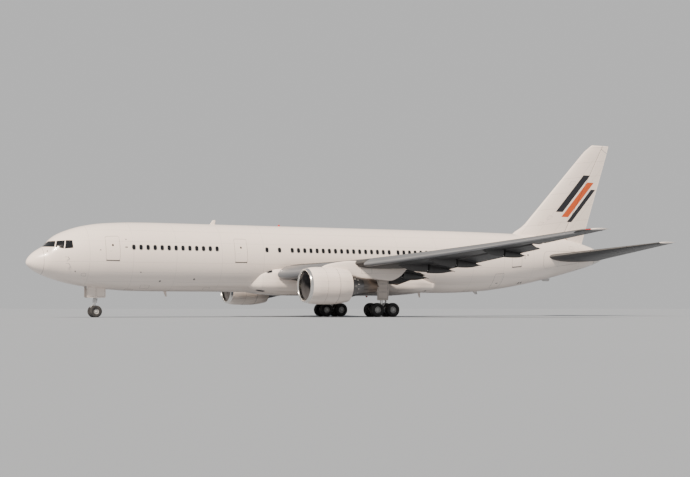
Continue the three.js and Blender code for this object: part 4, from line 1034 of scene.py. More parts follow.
def nose_points(surface, x, slat):
    """The front of a section, from the lower skin round to the upper: the aerofoil's own nose, or, behind a
    slat, a half ellipse a little less deep than the wing."""
    leading, trailing = surface.edges(x)
    chord = trailing - leading
    way = np.linspace(-1, 1, NOSE_POINTS)
    if slat is None:
        s = leading + 0.06 * chord * way**2
        up, down = surface.heights(x, s)
        return s, np.where(way < 0, down, up)
    line = slat_line(slat, x)
    up, down = surface.heights(x, line + CLEAR)
    middle, half = (up + down) / 2 - 0.006 * chord, (up - down) / 2 - 0.012 * chord
    s = line - (line - leading) * 0.7 * np.cos(way[1:-1] * np.pi / 2)
    z = middle + half * np.sin(way[1:-1] * np.pi / 2)
    return np.concatenate([[line + CLEAR], s, [line + CLEAR]]), np.concatenate([[down], z, [up]])


# How far ahead of its cut a section begins to run square to it
SHEAR_START = 0.3


def section(surface, x, line, rear, slat=None, shroud=0.0, pocket=None):
    """One closed ring of a wing or tail at the place x of a line along which it is cut: its nose, upper skin
    with a spoiler's pocket, cove and lower skin. rear is plain, flap or panel."""
    def spots(back, level, more=0.0):
        x_back, s_back, z_back = behind(surface, line, x, np.maximum(back, -SHEAR_START), level, more)
        return x_back, s_back + np.minimum(back + SHEAR_START, 0), z_back

    start = line_station(line, x)
    trailing = trailing_at(surface, line, x)
    nose_s, nose_z = nose_points(surface, x, slat)
    half = np.subtract(*surface.heights(x, start)) / 2
    ends = {"plain": (trailing, trailing), "flap": (shroud, -CLEAR), "panel": (-CLEAR, -CLEAR)}[rear]
    front = nose_s[-1] - start
    middle = ends[0] * 0.5 if rear == "plain" else min(ends[0], 0.0)
    step_in, step_out, depth = pocket or (-0.285, middle, 0.0)
    back = np.concatenate([front + (step_in - front) * cosines(UPPER_POINTS)[1:],
                           np.linspace(step_in, step_out, FLOOR_POINTS),
                           np.linspace(step_out, ends[0], REAR_POINTS)])
    lowered = np.repeat([0, depth, 0], [UPPER_POINTS - 1, FLOOR_POINTS, REAR_POINTS])
    ux, us, uz = spots(back, 1.0, -lowered)
    uz = np.where(back < -SHEAR_START, surface.heights(ux, us)[0], uz)
    # The cove, as distances back, levels and heights over the lower and under the upper skin
    if rear == "flap":
        cove = [(shroud, 1, -0.03), (0.06, 1, -SHROUD), (0.0, 1, -SHROUD - 0.006),
                (-CLEAR, 1, -SHROUD - 0.03), (-CLEAR, -1, half * 0.5), (-CLEAR, -1, half * 0.2)]
    elif rear == "panel":
        reach = half + CLEAR
        cove = [(-reach * np.cos(a), 0, reach * np.sin(a)) for a in np.radians([62, 38, 13, -13, -38, -62])]
    else:
        cove = [(trailing, level, 0) for level in (0.7, 0.4, 0.15, -0.15, -0.4, -0.7)]
    back = np.concatenate([np.linspace(ends[1], -CLEAR, 7)[:-1],
                           (nose_s[0] - start + CLEAR) * cosines(LOWER_POINTS)[:-1] - CLEAR])
    lx, ls, lz = spots(back, -1.0)
    lz = np.where(back < -SHEAR_START, surface.heights(lx, ls)[1], lz)
    # The rings run straight fore and aft ahead of the cut, and shear smoothly into it
    ring_x, ring_s, ring_z = columns((np.full(NOSE_POINTS, x), nose_s, nose_z), (ux, us, uz),
                                     spots(*np.array(cove, float).T), (lx, ls, lz))
    shear_s = start - SHEAR_START
    fore = ring_s < shear_s - 1e-9
    reach = np.clip((ring_s - nose_s.min()) / max(shear_s - nose_s.min(), 1e-6), 0, 1)
    new_x = np.where(fore, x + line_frame(line)[1] * SHEAR_START * reach, ring_x)
    index = np.arange(len(ring_s))
    skin = np.where(index < NOSE_POINTS + len(ux), *surface.heights(new_x, ring_s))
    return surface.put(new_x, ring_s, np.where(fore & (index >= NOSE_POINTS), skin, ring_z))


def rows_between(low, high, pitch):
    """Even steps from low to high, both included, at most a pitch apart."""
    return np.linspace(low, high, max(2, int(np.ceil((high - low) / pitch)) + 1))


def wing_rows():
    """The wing's rings from root to tip. At each place where the cuts change there are two rings, whose
    difference is the cut's end wall."""
    inboard, outboard = (FLAPS[place]["line"] for place in ("inboard", "outboard"))
    c = CLEAR
    stretches = [
        (2.2, 2.78 - c, "plain", inboard, None),
        (2.78 - c, 3.1 - c, "flap", inboard, None),
        (3.1 - c, 6.85 + c, "flap", inboard, "inboard"),
        (6.85 + c, 7.1 + c, "flap", inboard, None),
        (7.1 + c, 7.3 - c, "plain", inboard, None),
        (7.3 - c, 8.45 + c, "panel", AILERONS["inboard"], None),
        (8.45 + c, 8.47, "plain", AILERONS["inboard"], None),
        (8.94, 8.96, "plain", ([8.0, 28.8], [10.0, 29.406]), None),
        (9.17, 9.25 - c, "plain", outboard, None),
        (9.25 - c, 9.6 - c, "flap", outboard, None),
        (9.6 - c, 18.0 + c, "flap", outboard, "outboard"),
        (18.0 + c, 18.45 + c, "flap", outboard, None),
        (18.45 + c, 18.75 - c, "plain", outboard, None),
        (18.75 - c, 22.6 + c, "panel", AILERONS["outboard"], None),
        (22.6 + c, 23.3, "plain", AILERONS["outboard"], None),
        (23.44, HALF_SPAN, "plain", ([22.7, 35.9], [HALF_SPAN, 35.9]), None),
    ]
    slat_ends = [(2.63, 7.05, "inboard"), (8.95, 22.95, "outboard")]
    rings = []
    for start, end, rear, line, spoiler in stretches:
        shroud = FLAPS["inboard" if start < 8 else "outboard"]["shroud"] if rear == "flap" else 0
        stops = [start, *(stop for ends in slat_ends for stop in ends[:2] if start < stop < end), end]
        for low, high in zip(stops[:-1], stops[1:]):
            middle = (low + high) / 2
            slat = next((SLATS[name] for a, b, name in slat_ends if a < middle < b), None)
            for x in rows_between(low, high, 0.02 if low > 23.4 else 0.45):
                pocket = None
                if spoiler:
                    ahead = line_station(line, x) - line_station(SPOILERS[spoiler]["line"], x)
                    ahead *= line_frame(line)[0]
                    pocket = (-ahead - 0.035, SPOILERS[spoiler]["chord"] + CLEAR - ahead,
                              SPOILER_THICKNESS + CLEAR)
                rings.append(section(WING_SKIN, x, line, rear, slat, shroud, pocket))
    return rings


def tail_rows(surface, line, root, tip, gap, level):
    """The rings of a fin or tailplane half with a panel hinged on a line, with a gap at both of its ends. The
    outermost rings run straight fore and aft, cut at the station level."""
    inner, outer = line[0][0] - gap, line[1][0] + gap
    first = outer + line_frame(line)[1] * SHEAR_START + 0.02
    rings = [section(surface, x, line, "plain") for x in rows_between(root, inner, 0.35)]
    rings += [section(surface, x, line, "panel") for x in rows_between(inner, outer, 0.35)]
    rings.append(section(surface, outer, line, "plain"))
    straight = ([tip - 1, level], [tip, level])
    return rings + [section(surface, x, straight, "plain") for x in rows_between(first, tip, 0.018)]


def hinged_panel(surface, line):
    """A plain hinged surface: a round nose about the hinge, sides that swell to the skins, a thin edge."""
    tilt = np.linspace(-np.pi / 2, np.pi / 2, 13)
    rings = []
    for x in np.linspace(line[0][0], line[1][0], 40):
        half = np.subtract(*surface.heights(x, line_station(line, x))) / 2
        back = trailing_at(surface, line, x) * cosines(24)[1:]
        swell = NOSE_SHARE + (1 - NOSE_SHARE) * np.clip(back / (1.2 * half), 0, 1) ** 0.7
        ahead = -NOSE_SHARE * half * np.cos(tilt)
        level_off = behind(surface, line, x, 0.0, 0.0)[2] - behind(surface, line, x, ahead, 0.0)[2]
        rings.append(surface.put(*columns(
            behind(surface, line, x, ahead, 0.0, level_off + NOSE_SHARE * half * np.sin(tilt)),
            behind(surface, line, x, back, swell), behind(surface, line, x, back[::-1], -swell[::-1]))))
    return grid(rings, caps=True)


def flap_hinge(line):
    """Both ends of a flap's hinge, ahead of its nose line and below the wing."""
    along = line_frame(line)
    spots = [(x + along[1] * FLAP_AHEAD, s - along[0] * FLAP_AHEAD) for x, s in line]
    return [np.array([*spot, WING_SKIN.heights(*spot)[1] - FLAP_DROP]) for spot in spots]


def flap_body(spec):
    """A slotted flap before it is set: a round nose under the shroud, an upper side that rises to the wing's
    skin behind the shroud, and the wing's lower skin."""
    line, shroud = spec["line"], spec["shroud"]
    tilt = np.linspace(-np.pi / 2, np.pi / 2, 15)
    rings = []
    for x in np.linspace(line[0][0], line[1][0], 44):
        up, down = WING_SKIN.heights(x, line_station(line, x))
        radius = 0.47 * (up - SHROUD - CLEAR - down)
        nose = behind(WING_SKIN, line, x, radius - radius * np.cos(tilt), 0.0,
                      radius * np.sin(tilt) - (SHROUD + CLEAR) / 2)
        back = np.concatenate([np.linspace(radius * 1.3, shroud, 8),
                               shroud + (trailing_at(WING_SKIN, line, x) - shroud) * cosines(20)[1:]])
        rise = np.clip((back - shroud - CLEAR) / 0.5, 0, 1)
        lowered = (SHROUD + CLEAR + 0.01) * (1 - rise * rise * (3 - 2 * rise))
        deep = np.subtract(*(behind(WING_SKIN, line, x, back, level)[2] for level in (1.0, -1.0)))
        upper = behind(WING_SKIN, line, x, back, 1.0, -np.minimum(lowered, np.maximum(deep - 0.012, 0)))
        rings.append(xyz(*columns(nose, upper, behind(WING_SKIN, line, x, back[::-1], -1.0))))
    return grid(rings, caps=True)


# Flap track fairings: distance aft of the flap's nose line, depth below the wing
FAIRING_FIXED = [(-2.6, 0.03), (-1.9, 0.3), (-1.0, 0.52), (-0.12, 0.6)]
FAIRING_MOVING = [(0.03, 0.6), (0.6, 0.54), (1.4, 0.4)]


def fairing(spec, span, moving):
    """Half of a boat-shaped fairing: oval sections under the wing whose depth follows a smooth curve."""
    start = line_station(spec["line"], span)
    leading, trailing = WING_SKIN.edges(span)
    size = min(1.0, (trailing - leading) / 6)
    table = [*FAIRING_MOVING, (trailing + 0.55 - start, 0.04)] if moving else FAIRING_FIXED
    distance, depth = np.array(table).T
    at = np.linspace(distance[0], distance[-1], 34)
    depth = smooth(distance, depth, at) * (0.5 + 0.5 * size)
    s = start + np.where(at < 0, at * size, at)
    up, down = WING_SKIN.heights(span, np.minimum(s, trailing))
    roof = (up + down) / 2 - 0.01
    if moving:
        roof = roof - 0.06 * (at < spec["shroud"]) - 0.12 * np.clip(s - trailing, 0, None)
        taper = (at[-1] + 0.02 - at) / 1.1
    else:
        taper = (at - at[0] + 0.02) / 0.7
    floor = np.minimum(down - depth, roof - 0.05)
    half = np.minimum(1, 0.25 + depth * 1.6) * 0.17 * np.sqrt(np.clip(taper, 0, 1))
    out = half[:, None] * blunt(circle(28), 0.85)[0]
    z = (roof + floor)[:, None] / 2 + (roof - floor)[:, None] / 2 * np.sin(circle(28))
    skew = line_station(spec["line"], 1) - line_station(spec["line"], 0)
    return grid(xyz(span + out, s[:, None] + skew * out, z), caps=True)


def flap_link(spec, span):
    """The flap's arm in the slot of its fairing: a bar from the hinge to the flap, and the hinge's eye."""
    a, b = flap_hinge(spec["line"])
    pivot = a + (b - a) * (span - a[0]) / (b[0] - a[0])
    reach = np.array([0, FLAP_AHEAD + 0.5, 0.05])
    eye = (b - a) / np.linalg.norm(b - a) * 0.034
    return [tube([pivot, pivot + reach / 2, pivot + reach], [0.06, 0.055, 0.05], 12, 1, 0.5),
            rod(pivot - eye, pivot + eye, 0.065, 20, 1)]


def spoiler_body(spec):
    """Flush panels let into the upper skin, with a fine gap between neighbours."""
    line, back = spec["line"], spec["chord"] * np.linspace(0, 1, 10)
    thin = SPOILER_THICKNESS * np.linspace(0.4, 1, 10)
    stops = np.linspace(line[0][0], line[1][0], spec["panels"] + 1)
    parts = []
    for low, high in zip(stops[:-1], stops[1:]):
        ends = low + 0.008 * (low > stops[0]), high - 0.008 * (high < stops[-1])
        parts.append(grid([xyz(*columns(behind(WING_SKIN, line, x, back, 1.0),
                                        behind(WING_SKIN, line, x, back[::-1], 1.0, -thin)))
                           for x in np.linspace(*ends, 12)], caps=True))
    return parts


def slat_body(spec):
    """A slat run out on its tracks: the aerofoil's nose outside, a hollow elliptical cove inside."""
    way = np.linspace(-1, 1, 33)
    tilt = np.linspace(np.pi / 2, -np.pi / 2, 21)
    rings = []
    for x in np.linspace(*spec["span"], 60):
        leading, trailing = WING_SKIN.edges(x)
        line, chord = slat_line(spec, x), trailing - leading
        s = leading + (line - leading) * way**2
        up, down = WING_SKIN.heights(x, s)
        outer = np.where(way < 0, down, up)
        up, down = WING_SKIN.heights(x, line)
        inner = (up + down) / 2 - 0.0035 * chord + ((up - down) / 2 - 0.0075 * chord) * np.sin(tilt)
        s = np.concatenate([s, line - (line - leading) * 0.72 * np.cos(tilt)])
        rings.append(xyz(x, s, np.concatenate([outer, inner])))
    ends = []
    for x in spec["span"]:
        line = slat_line(spec, x)
        ends.append((x, (WING_SKIN.edges(x)[0] + line) / 2, WING_SKIN.heights(x, line)[1]))
    return shifted(turned([grid(rings, caps=True)], *ends, SLAT_TURN), (0, -SLAT_FORWARD, -SLAT_DOWN))


def slat_tracks(spec):
    """Curved track beams from the fixed nose to the slat."""
    parts = []
    for x in spec["tracks"]:
        leading, line = WING_SKIN.edges(x)[0], slat_line(spec, x)
        middle = np.mean(WING_SKIN.heights(x, line)) - 0.04 * (line - leading)
        path = [(x, line, middle), (x, leading + 0.05, middle - 0.05), (x, leading - 0.26, middle - 0.14)]
        parts.append(tube(bend(path, 10), 0.07, 12, 1, 0.6))
    return parts


def hinged(name, parts, *others):
    """Both sides of a moving surface, each riding on the body that has its name."""
    pair(f"{name}_skin", parts, ["grey", *others], name, sharp=SURFACE_SHARP)


def build_wings():
    pair("wing_skin", two_tone(wing_rows(), 14, 1), ["grey", "white"],
         sharp=SURFACE_SHARP)
    boats = [fairing(spec, span, False) for spec in FLAPS.values() for span in spec["fairings"]]
    pair("fixed_fairings", boats, ["grey"])
    for place, spec in FLAPS.items():
        parts = [flap_body(spec)]
        for span in spec["fairings"]:
            parts += [fairing(spec, span, True), *flap_link(spec, span)]
        hinged(f"flap_{place}", turned(parts, *flap_hinge(spec["line"]), -FLAP_SET), "gear_paint")
    for place, spec in SPOILERS.items():
        hinged(f"spoiler_{place}", spoiler_body(spec))
    for place, line in AILERONS.items():
        hinged(f"aileron_{place}", [hinged_panel(WING_SKIN, line)])
    for place, spec in SLATS.items():
        pair(f"slat_{place}_skin", slat_body(spec) + slat_tracks(spec), ["slat_metal", "gear_paint"],
             sharp=SURFACE_SHARP)


def build_wing_fittings():
    """Oval tank covers under the wing, and at its tip a lamp and a discharge wick."""
    covers = []
    for x in np.arange(4.2, 21.6, 0.93):
        def lift(across, up, level, x=x, s=chord_station(x, 0.42)):
            station = s + up + 0.62 * across
            return xyz(x + across, station, WING_SKIN.heights(x + across, station)[1] - level)

        size = min(1.0, -np.subtract(*WING_SKIN.edges(x)) / 5)
        oval = np.stack([0.24 * size * np.cos(circle(28)), 0.42 * size * np.sin(circle(28))], -1)
        covers.append(plate(oval, lift, 0.006, 0.003))
    pair("tank_covers", covers, ["grey"])
    s = WING_SKIN.edges(WICK_SPAN)[1]
    z = np.mean(WING_SKIN.heights(WICK_SPAN, s))
    front = [(x, WING_SKIN.edges(x)[0] + 0.01, WING_SKIN.rise(x)) for x in (23.36, 23.46, 23.56)]
    parts = [rod((WICK_SPAN, s - 0.04, z), (WICK_SPAN, s + 0.16, z - 0.01), 0.008, 6, edge=0.002),
             tube(bend(front, 10), [0.012, *[0.028] * 8, 0.012], 14, 1)]
    for side, lens, made in (("left", "red_lens", parts), ("right", "green_lens", mirror(parts))):
        piece(f"tip_lamp_and_wicks_{side}", made, ["dark", lens])


def build_tail():
    fin = tail_rows(FIN_SKIN, RUDDER, 6.0, 15.85, RUDDER_END_CLEAR, 54.0)
    piece("fin_skin", [grid(fin, caps=True)], ["tail"], sharp=SURFACE_SHARP)
    piece("rudder_skin", [hinged_panel(FIN_SKIN, RUDDER)], ["tail"], "rudder", sharp=SURFACE_SHARP)
    half = tail_rows(TAIL_SKIN, ELEVATOR, 0.75, 9.31, CLEAR, 54.4)
    pair("tailplane_skin", two_tone(half, 15, 1), ["grey", "white"],
         sharp=SURFACE_SHARP)
    hinged("elevator", [hinged_panel(TAIL_SKIN, ELEVATOR)])


# Engines

def arc(points, count):
    return bend(points, count).tolist()


def at_engine(parts):
    return shifted(parts, ENGINE)


def spin(parts, degrees):
    """Parts turned about the engine's axis."""
    return turned(parts, (0, 0, 0), (0, 1, 0), degrees)


def around(parts, count, first=0.0):
    """Copies of parts turned evenly about the engine's axis."""
    return [part for i in range(count) for part in spin(parts, first + 360 * i / count)]


def sleeve(outer, inner, sides, finishes=(0, 0, 0, 0)):
    """A hollow body about the engine's axis: outer face, inner face, and the walls aft and in front."""
    profiles = (outer, inner, [outer[-1], inner[0]], [inner[-1], outer[0]])
    return [lathe(profile, sides=sides, finish=finish) for profile, finish in zip(profiles, finishes)]


def build_cowls():
    lip_out = arc([[INLET, 1.2], [INLET + 0.015, 1.248], [INLET + 0.08, 1.298], [INLET + 0.22, 1.343]], 14)
    lip_in = arc([[INLET + 0.3, 1.118], [INLET + 0.12, 1.13], [INLET + 0.03, 1.16], [INLET, 1.2]], 12)
    barrel = arc([lip_out[-1], [INLET + 0.5, 1.392], [20.4, 1.43], [FAN_COWL - 0.012, 1.44]], 18)
    throat = [[FAN_COWL - 0.012, FAN_RADIUS + 0.012], [20.3, FAN_RADIUS + 0.005],
              *arc([[20.1, 1.15], [INLET + 0.6, 1.118], [INLET + 0.3, 1.118]], 10)]
    profiles = ((lip_out, 1), (lip_in, 1), (barrel, 0), (throat, 2), ([barrel[-1], throat[0]], 3))
    parts = [lathe(profile, sides=96, finish=finish) for profile, finish in profiles]
    pair("inlet_cowl_skin", at_engine(parts), ["white", "lip_metal", "liner", "seal"])
    outer = arc([[FAN_COWL, 1.44], [21.8, 1.44], [22.4, 1.395], [FAN_EXIT, 1.25]], 28)
    inner = arc([[FAN_EXIT, 1.235], [22.3, 1.22], [FAN_COWL, FAN_RADIUS + 0.02]], 12)
    parts = sleeve(outer, inner, 96, (0, 1, 2, 1))
    # Seams of the reverser's sleeve and of the cowl's halves, latches along the keel, and a strake
    parts += [hoop(s - 0.006, s + 0.006, radius - 0.01, radius + 0.003, sides=96, finish=3)
              for s, radius in ((21.98, 1.4335), (22.02, 1.4315))]
    seam = [rod((0, FAN_COWL + 0.02, 1.441), (0, 22.0, 1.436), 0.007, 6, 3, 0.002)]
    parts += spin(seam, 180) + spin(seam, 178.4)
    latch = rounded(0.06, 0.12, 0.02, 3, 0)
    parts += [plate(latch, lambda a, u, w, s=s: xyz(a, s + u, -1.44 - w), 0.01, 0.003, 3, -0.01)
              for s in (21.1, 21.35, 21.6, 21.85)]
    parts += spin([blade([0, 21.3, 1.42], 1, 1.1, 0.24, 0.03, 0.25)], -52)
    pair("fan_cowl_skin", at_engine(parts), ["white", "liner", "lip_metal", "outline"])


def build_core():
    """The core's cowl with its brackets, the nozzle, and the core with its plug and outlet vanes."""
    cowl = arc([[22.1, 0.62], [22.35, 0.84], [22.7, 0.9], [FAN_EXIT, 0.915], [23.9, 0.8], [24.43, 0.678]], 30)
    parts = [lathe(cowl, sides=80), lathe([cowl[-1], [24.43, 0.61], [23.4, 0.51]], sides=80)]
    parts += [hoop(s - 0.012, s + 0.012, radius - 0.02, radius + 0.006, 0.004, sides=80, finish=1)
              for s, radius in ((23.45, 0.885), (24.0, 0.775))]
    parts += around([plate(rounded(0.11, 0.2, 0.03, 4, 1),
                           lambda a, u, w: xyz(a, 23.62 + u, 0.852 - 0.19 * u + w), 0.012, 0.004, 1)], 9, 12)
    parts += around([plate(rounded(0.07, 0.07, 0.03, 5, 0),
                           lambda a, u, w: xyz(a, 23.9 + u, 0.802 - 0.24 * u + w), 0.016, 0.006, 2)], 14, 5)
    pair("core_cowl_skin", at_engine(parts), ["core_metal", "outline", "frame"])
    outer = arc([[24.436, 0.676], [25.0, 0.6], [25.74, 0.488]], 20)
    parts = sleeve(outer, [[25.74, 0.478], [25.2, 0.55], [24.44, 0.61]], 80)
    parts.append(hoop(25.02, 25.045, 0.58, 0.604, 0.003, sides=80))
    pair("nozzle_skin", at_engine(parts), ["hot_metal"], node="exhaust_nozzle")
    plug = arc([[24.0, 0.46], [24.5, 0.42], [25.2, 0.3], [26.0, 0.075], [26.15, 0.0]], 26)
    body = [[FAN_COWL + 0.03, 0], [FAN_COWL + 0.03, 0.4], *arc([[21.1, 0.46], [21.6, 0.55], [22.2, 0.62]], 8),
            [22.3, 0.5], [23.5, 0.5], *plug]
    along = np.array([-0.11, 0.0, 0.12, 0.12, 0.0, -0.11])
    across = np.array([-0.012, -0.02, -0.006, 0.006, 0.02, 0.012])
    lean = np.radians(14)
    across = across * np.cos(lean) + along * np.sin(lean)
    rings = [xyz(across, 21.5 + along * np.cos(lean), radius) for radius in (0.44, 0.7, 0.95, 1.17)]
    vane = grid(rings, caps=True, finish=1)
    pair("engine_core_skin", at_engine([lathe(body), *around([vane], 40)]), ["hot_metal", "liner"])


def build_fans():
    """A hub with a rounded cone, and blades whose thin curved section turns from nearly fore and aft at the
    root to nearly square to the axis at the tip; a ring of snubbers part way out."""
    way = np.linspace(0, 1, 9)
    rings = []
    for radius in np.linspace(HUB_RADIUS, FAN_RADIUS - 0.012, 12):
        share = (radius - HUB_RADIUS) / (FAN_RADIUS - 0.012 - HUB_RADIUS)
        twist = np.radians(18 + 42 * share)
        along = (way - 0.5) * (0.2 + 0.05 * share)
        bow = 0.035 * (1 - (2 * way - 1) ** 2)
        thick = (0.016 - 0.01 * share) * np.sin(np.pi * np.clip(way, 0.03, 0.97)) ** 0.5
        line = np.concatenate([along, along[::-1]])
        out = np.concatenate([bow + thick, (bow - thick)[::-1]])
        angle = (line * np.sin(twist) + out * np.cos(twist)) / radius
        back = line * np.cos(twist) - out * np.sin(twist)
        rings.append(xyz(radius * np.sin(angle), FAN_FACE + 0.02 + back * 0.8, radius * np.cos(angle)))
    parts = around([grid(rings, caps=True, finish=1)], FAN_BLADES)
    front, back = FAN_FACE - 0.02, FAN_FACE + 0.05
    ring = [[front, 0.79], [back, 0.79], [back, 0.815], [front, 0.815], [front, 0.79]]
    parts.append(lathe(ring, sides=76, finish=1))
    end = FAN_COWL - 0.05
    cone = arc([[FAN_FACE - 0.6, 0.035], [FAN_FACE - 0.42, 0.19], [FAN_FACE - 0.12, 0.36], [end, 0.4]], 22)
    parts.append(lathe([[FAN_FACE - 0.62, 0.0], *cone, [end, 0.0]]))
    pair("fan_blades", at_engine(parts), ["spinner", "blade_metal"], "fan", "fan")


# Pylon: station, bottom, top and half width
PYLON = np.array([
    [20.98, 3.75, 3.84, 0.05],
    [21.25, 3.6, 4.0, 0.13],
    [21.6, 3.5, 4.12, 0.17],
    [22.6, 3.3, 4.32, 0.21],
    [23.7, 3.18, 4.42, 0.21],
    [24.6, 2.98, 4.42, 0.21],
    [26.0, 2.96, 4.4, 0.205],
    [27.1, 2.88, 4.3, 0.17],
    [27.9, 3.18, 4.3, 0.12],
    [28.68, 3.88, 4.2, 0.03],
])


def build_pylons():
    """Upright rounded sections along the pylon, with an access panel on each side and a drain below."""
    x = ENGINE[0]
    s = np.linspace(PYLON[0, 0], PYLON[-1, 0], 84)
    bottom, top, half = (smooth(PYLON[:, 0], PYLON[:, i], s) for i in (1, 2, 3))
    across, up = blunt(circle(40), 0.55)
    under_wing = s > WING_SKIN.edges(x)[0] + 0.3
    top = np.where(under_wing, np.minimum(top, WING_SKIN.heights(x, s)[1] + 0.12), top)
    z = (top + bottom)[:, None] / 2 + (top - bottom)[:, None] / 2 * up
    parts = [grid(xyz(x + half[:, None] * across, s[:, None], z), caps=True)]
    for side in (-1, 1):
        def lift(across, up, level, side=side):
            station = 24.9 + across
            return xyz(x + side * (np.interp(station, PYLON[:, 0], PYLON[:, 3]) + level), station, 3.62 + up)

        parts.append(rim(rounded(0.9, 0.42, 0.06, 4, 4), 0.014, lift, 0.003, 1))
    parts.append(rod((x, 25.75, 2.99), (x, 25.75, 2.86), 0.03, 12, 2))
    pair("pylon_skin", parts, ["white", "outline", "gear_paint"])


# Landing gear

def wheel(radius, half, rim_radius, centre, bolts):
    """A tyre with four grooves, and a dished wheel with bolts and vents, both about the axle."""
    grooves = [(at * half + beside, radius - depth) for at in (-0.5, -0.17, 0.17, 0.5)
               for beside, depth in ((-0.013, 0), (-0.009, 0.012), (0.009, 0.012), (0.013, 0))]
    side = bend([(half * 0.62, rim_radius), (half * 0.93, rim_radius + 0.05),
                 (half, (radius + rim_radius) / 2), (half * 0.93, radius * 0.965 - 0.03),
                 (half * 0.7, radius - 0.004)], 16)
    tread = [(-half * 0.62, radius - 0.001), *grooves, (half * 0.62, radius - 0.001)]
    parts = [lathe(np.concatenate([side * [-1, 1], tread, side[::-1]]), centre, 0, 96)]
    inward = [(0.62, 0.86), (0.3, 0.72), (0.34, 0.45), (0.62, 0.34), (0.66, 0.1), (0.66, 0.0)]
    dish = bend([(half * 0.62, rim_radius + 0.002), (half * 0.74, rim_radius - 0.012),
                 *np.multiply(inward, (half, rim_radius))], 34)
    # Bolts and vents: turn past the first bolt, share of the rim's radius, length, radius, sides, finish
    studs = ((0, 0.58, 0.035, 0.013, 6, 1), (0.5, 0.79, 0.045, 0.022, 12, 2))
    for sign in (-1, 1):
        parts.append(lathe(dish * [sign, 1], centre, 0, 64, 1))
        for i in range(bolts):
            for turn, share, length, thick, sides, finish in studs:
                angle = TURN * (i + turn) / bolts
                spot = centre + np.array([sign * half * 0.3, rim_radius * share * np.cos(angle),
                                          rim_radius * share * np.sin(angle)])
                parts.append(rod(spot, spot + [sign * length, 0, 0], thick, sides, finish, 0.004))
    return parts


def crossbar(centre, half, radius, sides=20, finish=0):
    """A bar that lies across the airliner, through its centre."""
    return rod(centre - np.array([half, 0, 0]), centre + np.array([half, 0, 0]), radius, sides, finish)


def uprights(x, s, *rows):
    """Upright bars at a place, from rows of lowest and highest point, radius, sides and finish."""
    return [rod((x, s, low), (x, s, high), *row) for low, high, *row in rows]


def fork_link(foot, top, wide_foot, wide_top, thick):
    """A torque link: a flat arm from a wide foot to a narrow top, with a pin at both ends."""
    foot, top = np.asarray(foot, float), np.asarray(top, float)
    length = np.linalg.norm(top - foot)
    along = (top - foot) / length
    face = np.cross(along, [1, 0, 0])

    def lift(across, up, level):
        return foot + np.outer(up, along) + np.outer(across, [1, 0, 0]) + level * face

    corners = [(-wide_foot, 0), (wide_foot, 0), (wide_top, length), (-wide_top, length), (-wide_foot, 0)]
    return [plate(bend(corners, 40)[:-1], lift, thick, 0.008, low=-thick),
            crossbar(foot, wide_foot + 0.02, thick * 1.5, 16),
            crossbar(top, wide_top + 0.02, thick * 1.5, 16)]


def gear_door(shape, middle, lift, panels, seam, rib, deep):
    """A door's leaf round its middle height; its panels have seams outside, and ribs of a depth inside."""
    parts = [plate(rounded(*shape) + [0, middle], lift, 0.02, 0.006)]
    for panel in panels:
        parts += [rim(panel, seam, lift, 0.023, 2, 0.01), rim(panel, rib, lift, -0.01, 0, -deep)]
    return parts


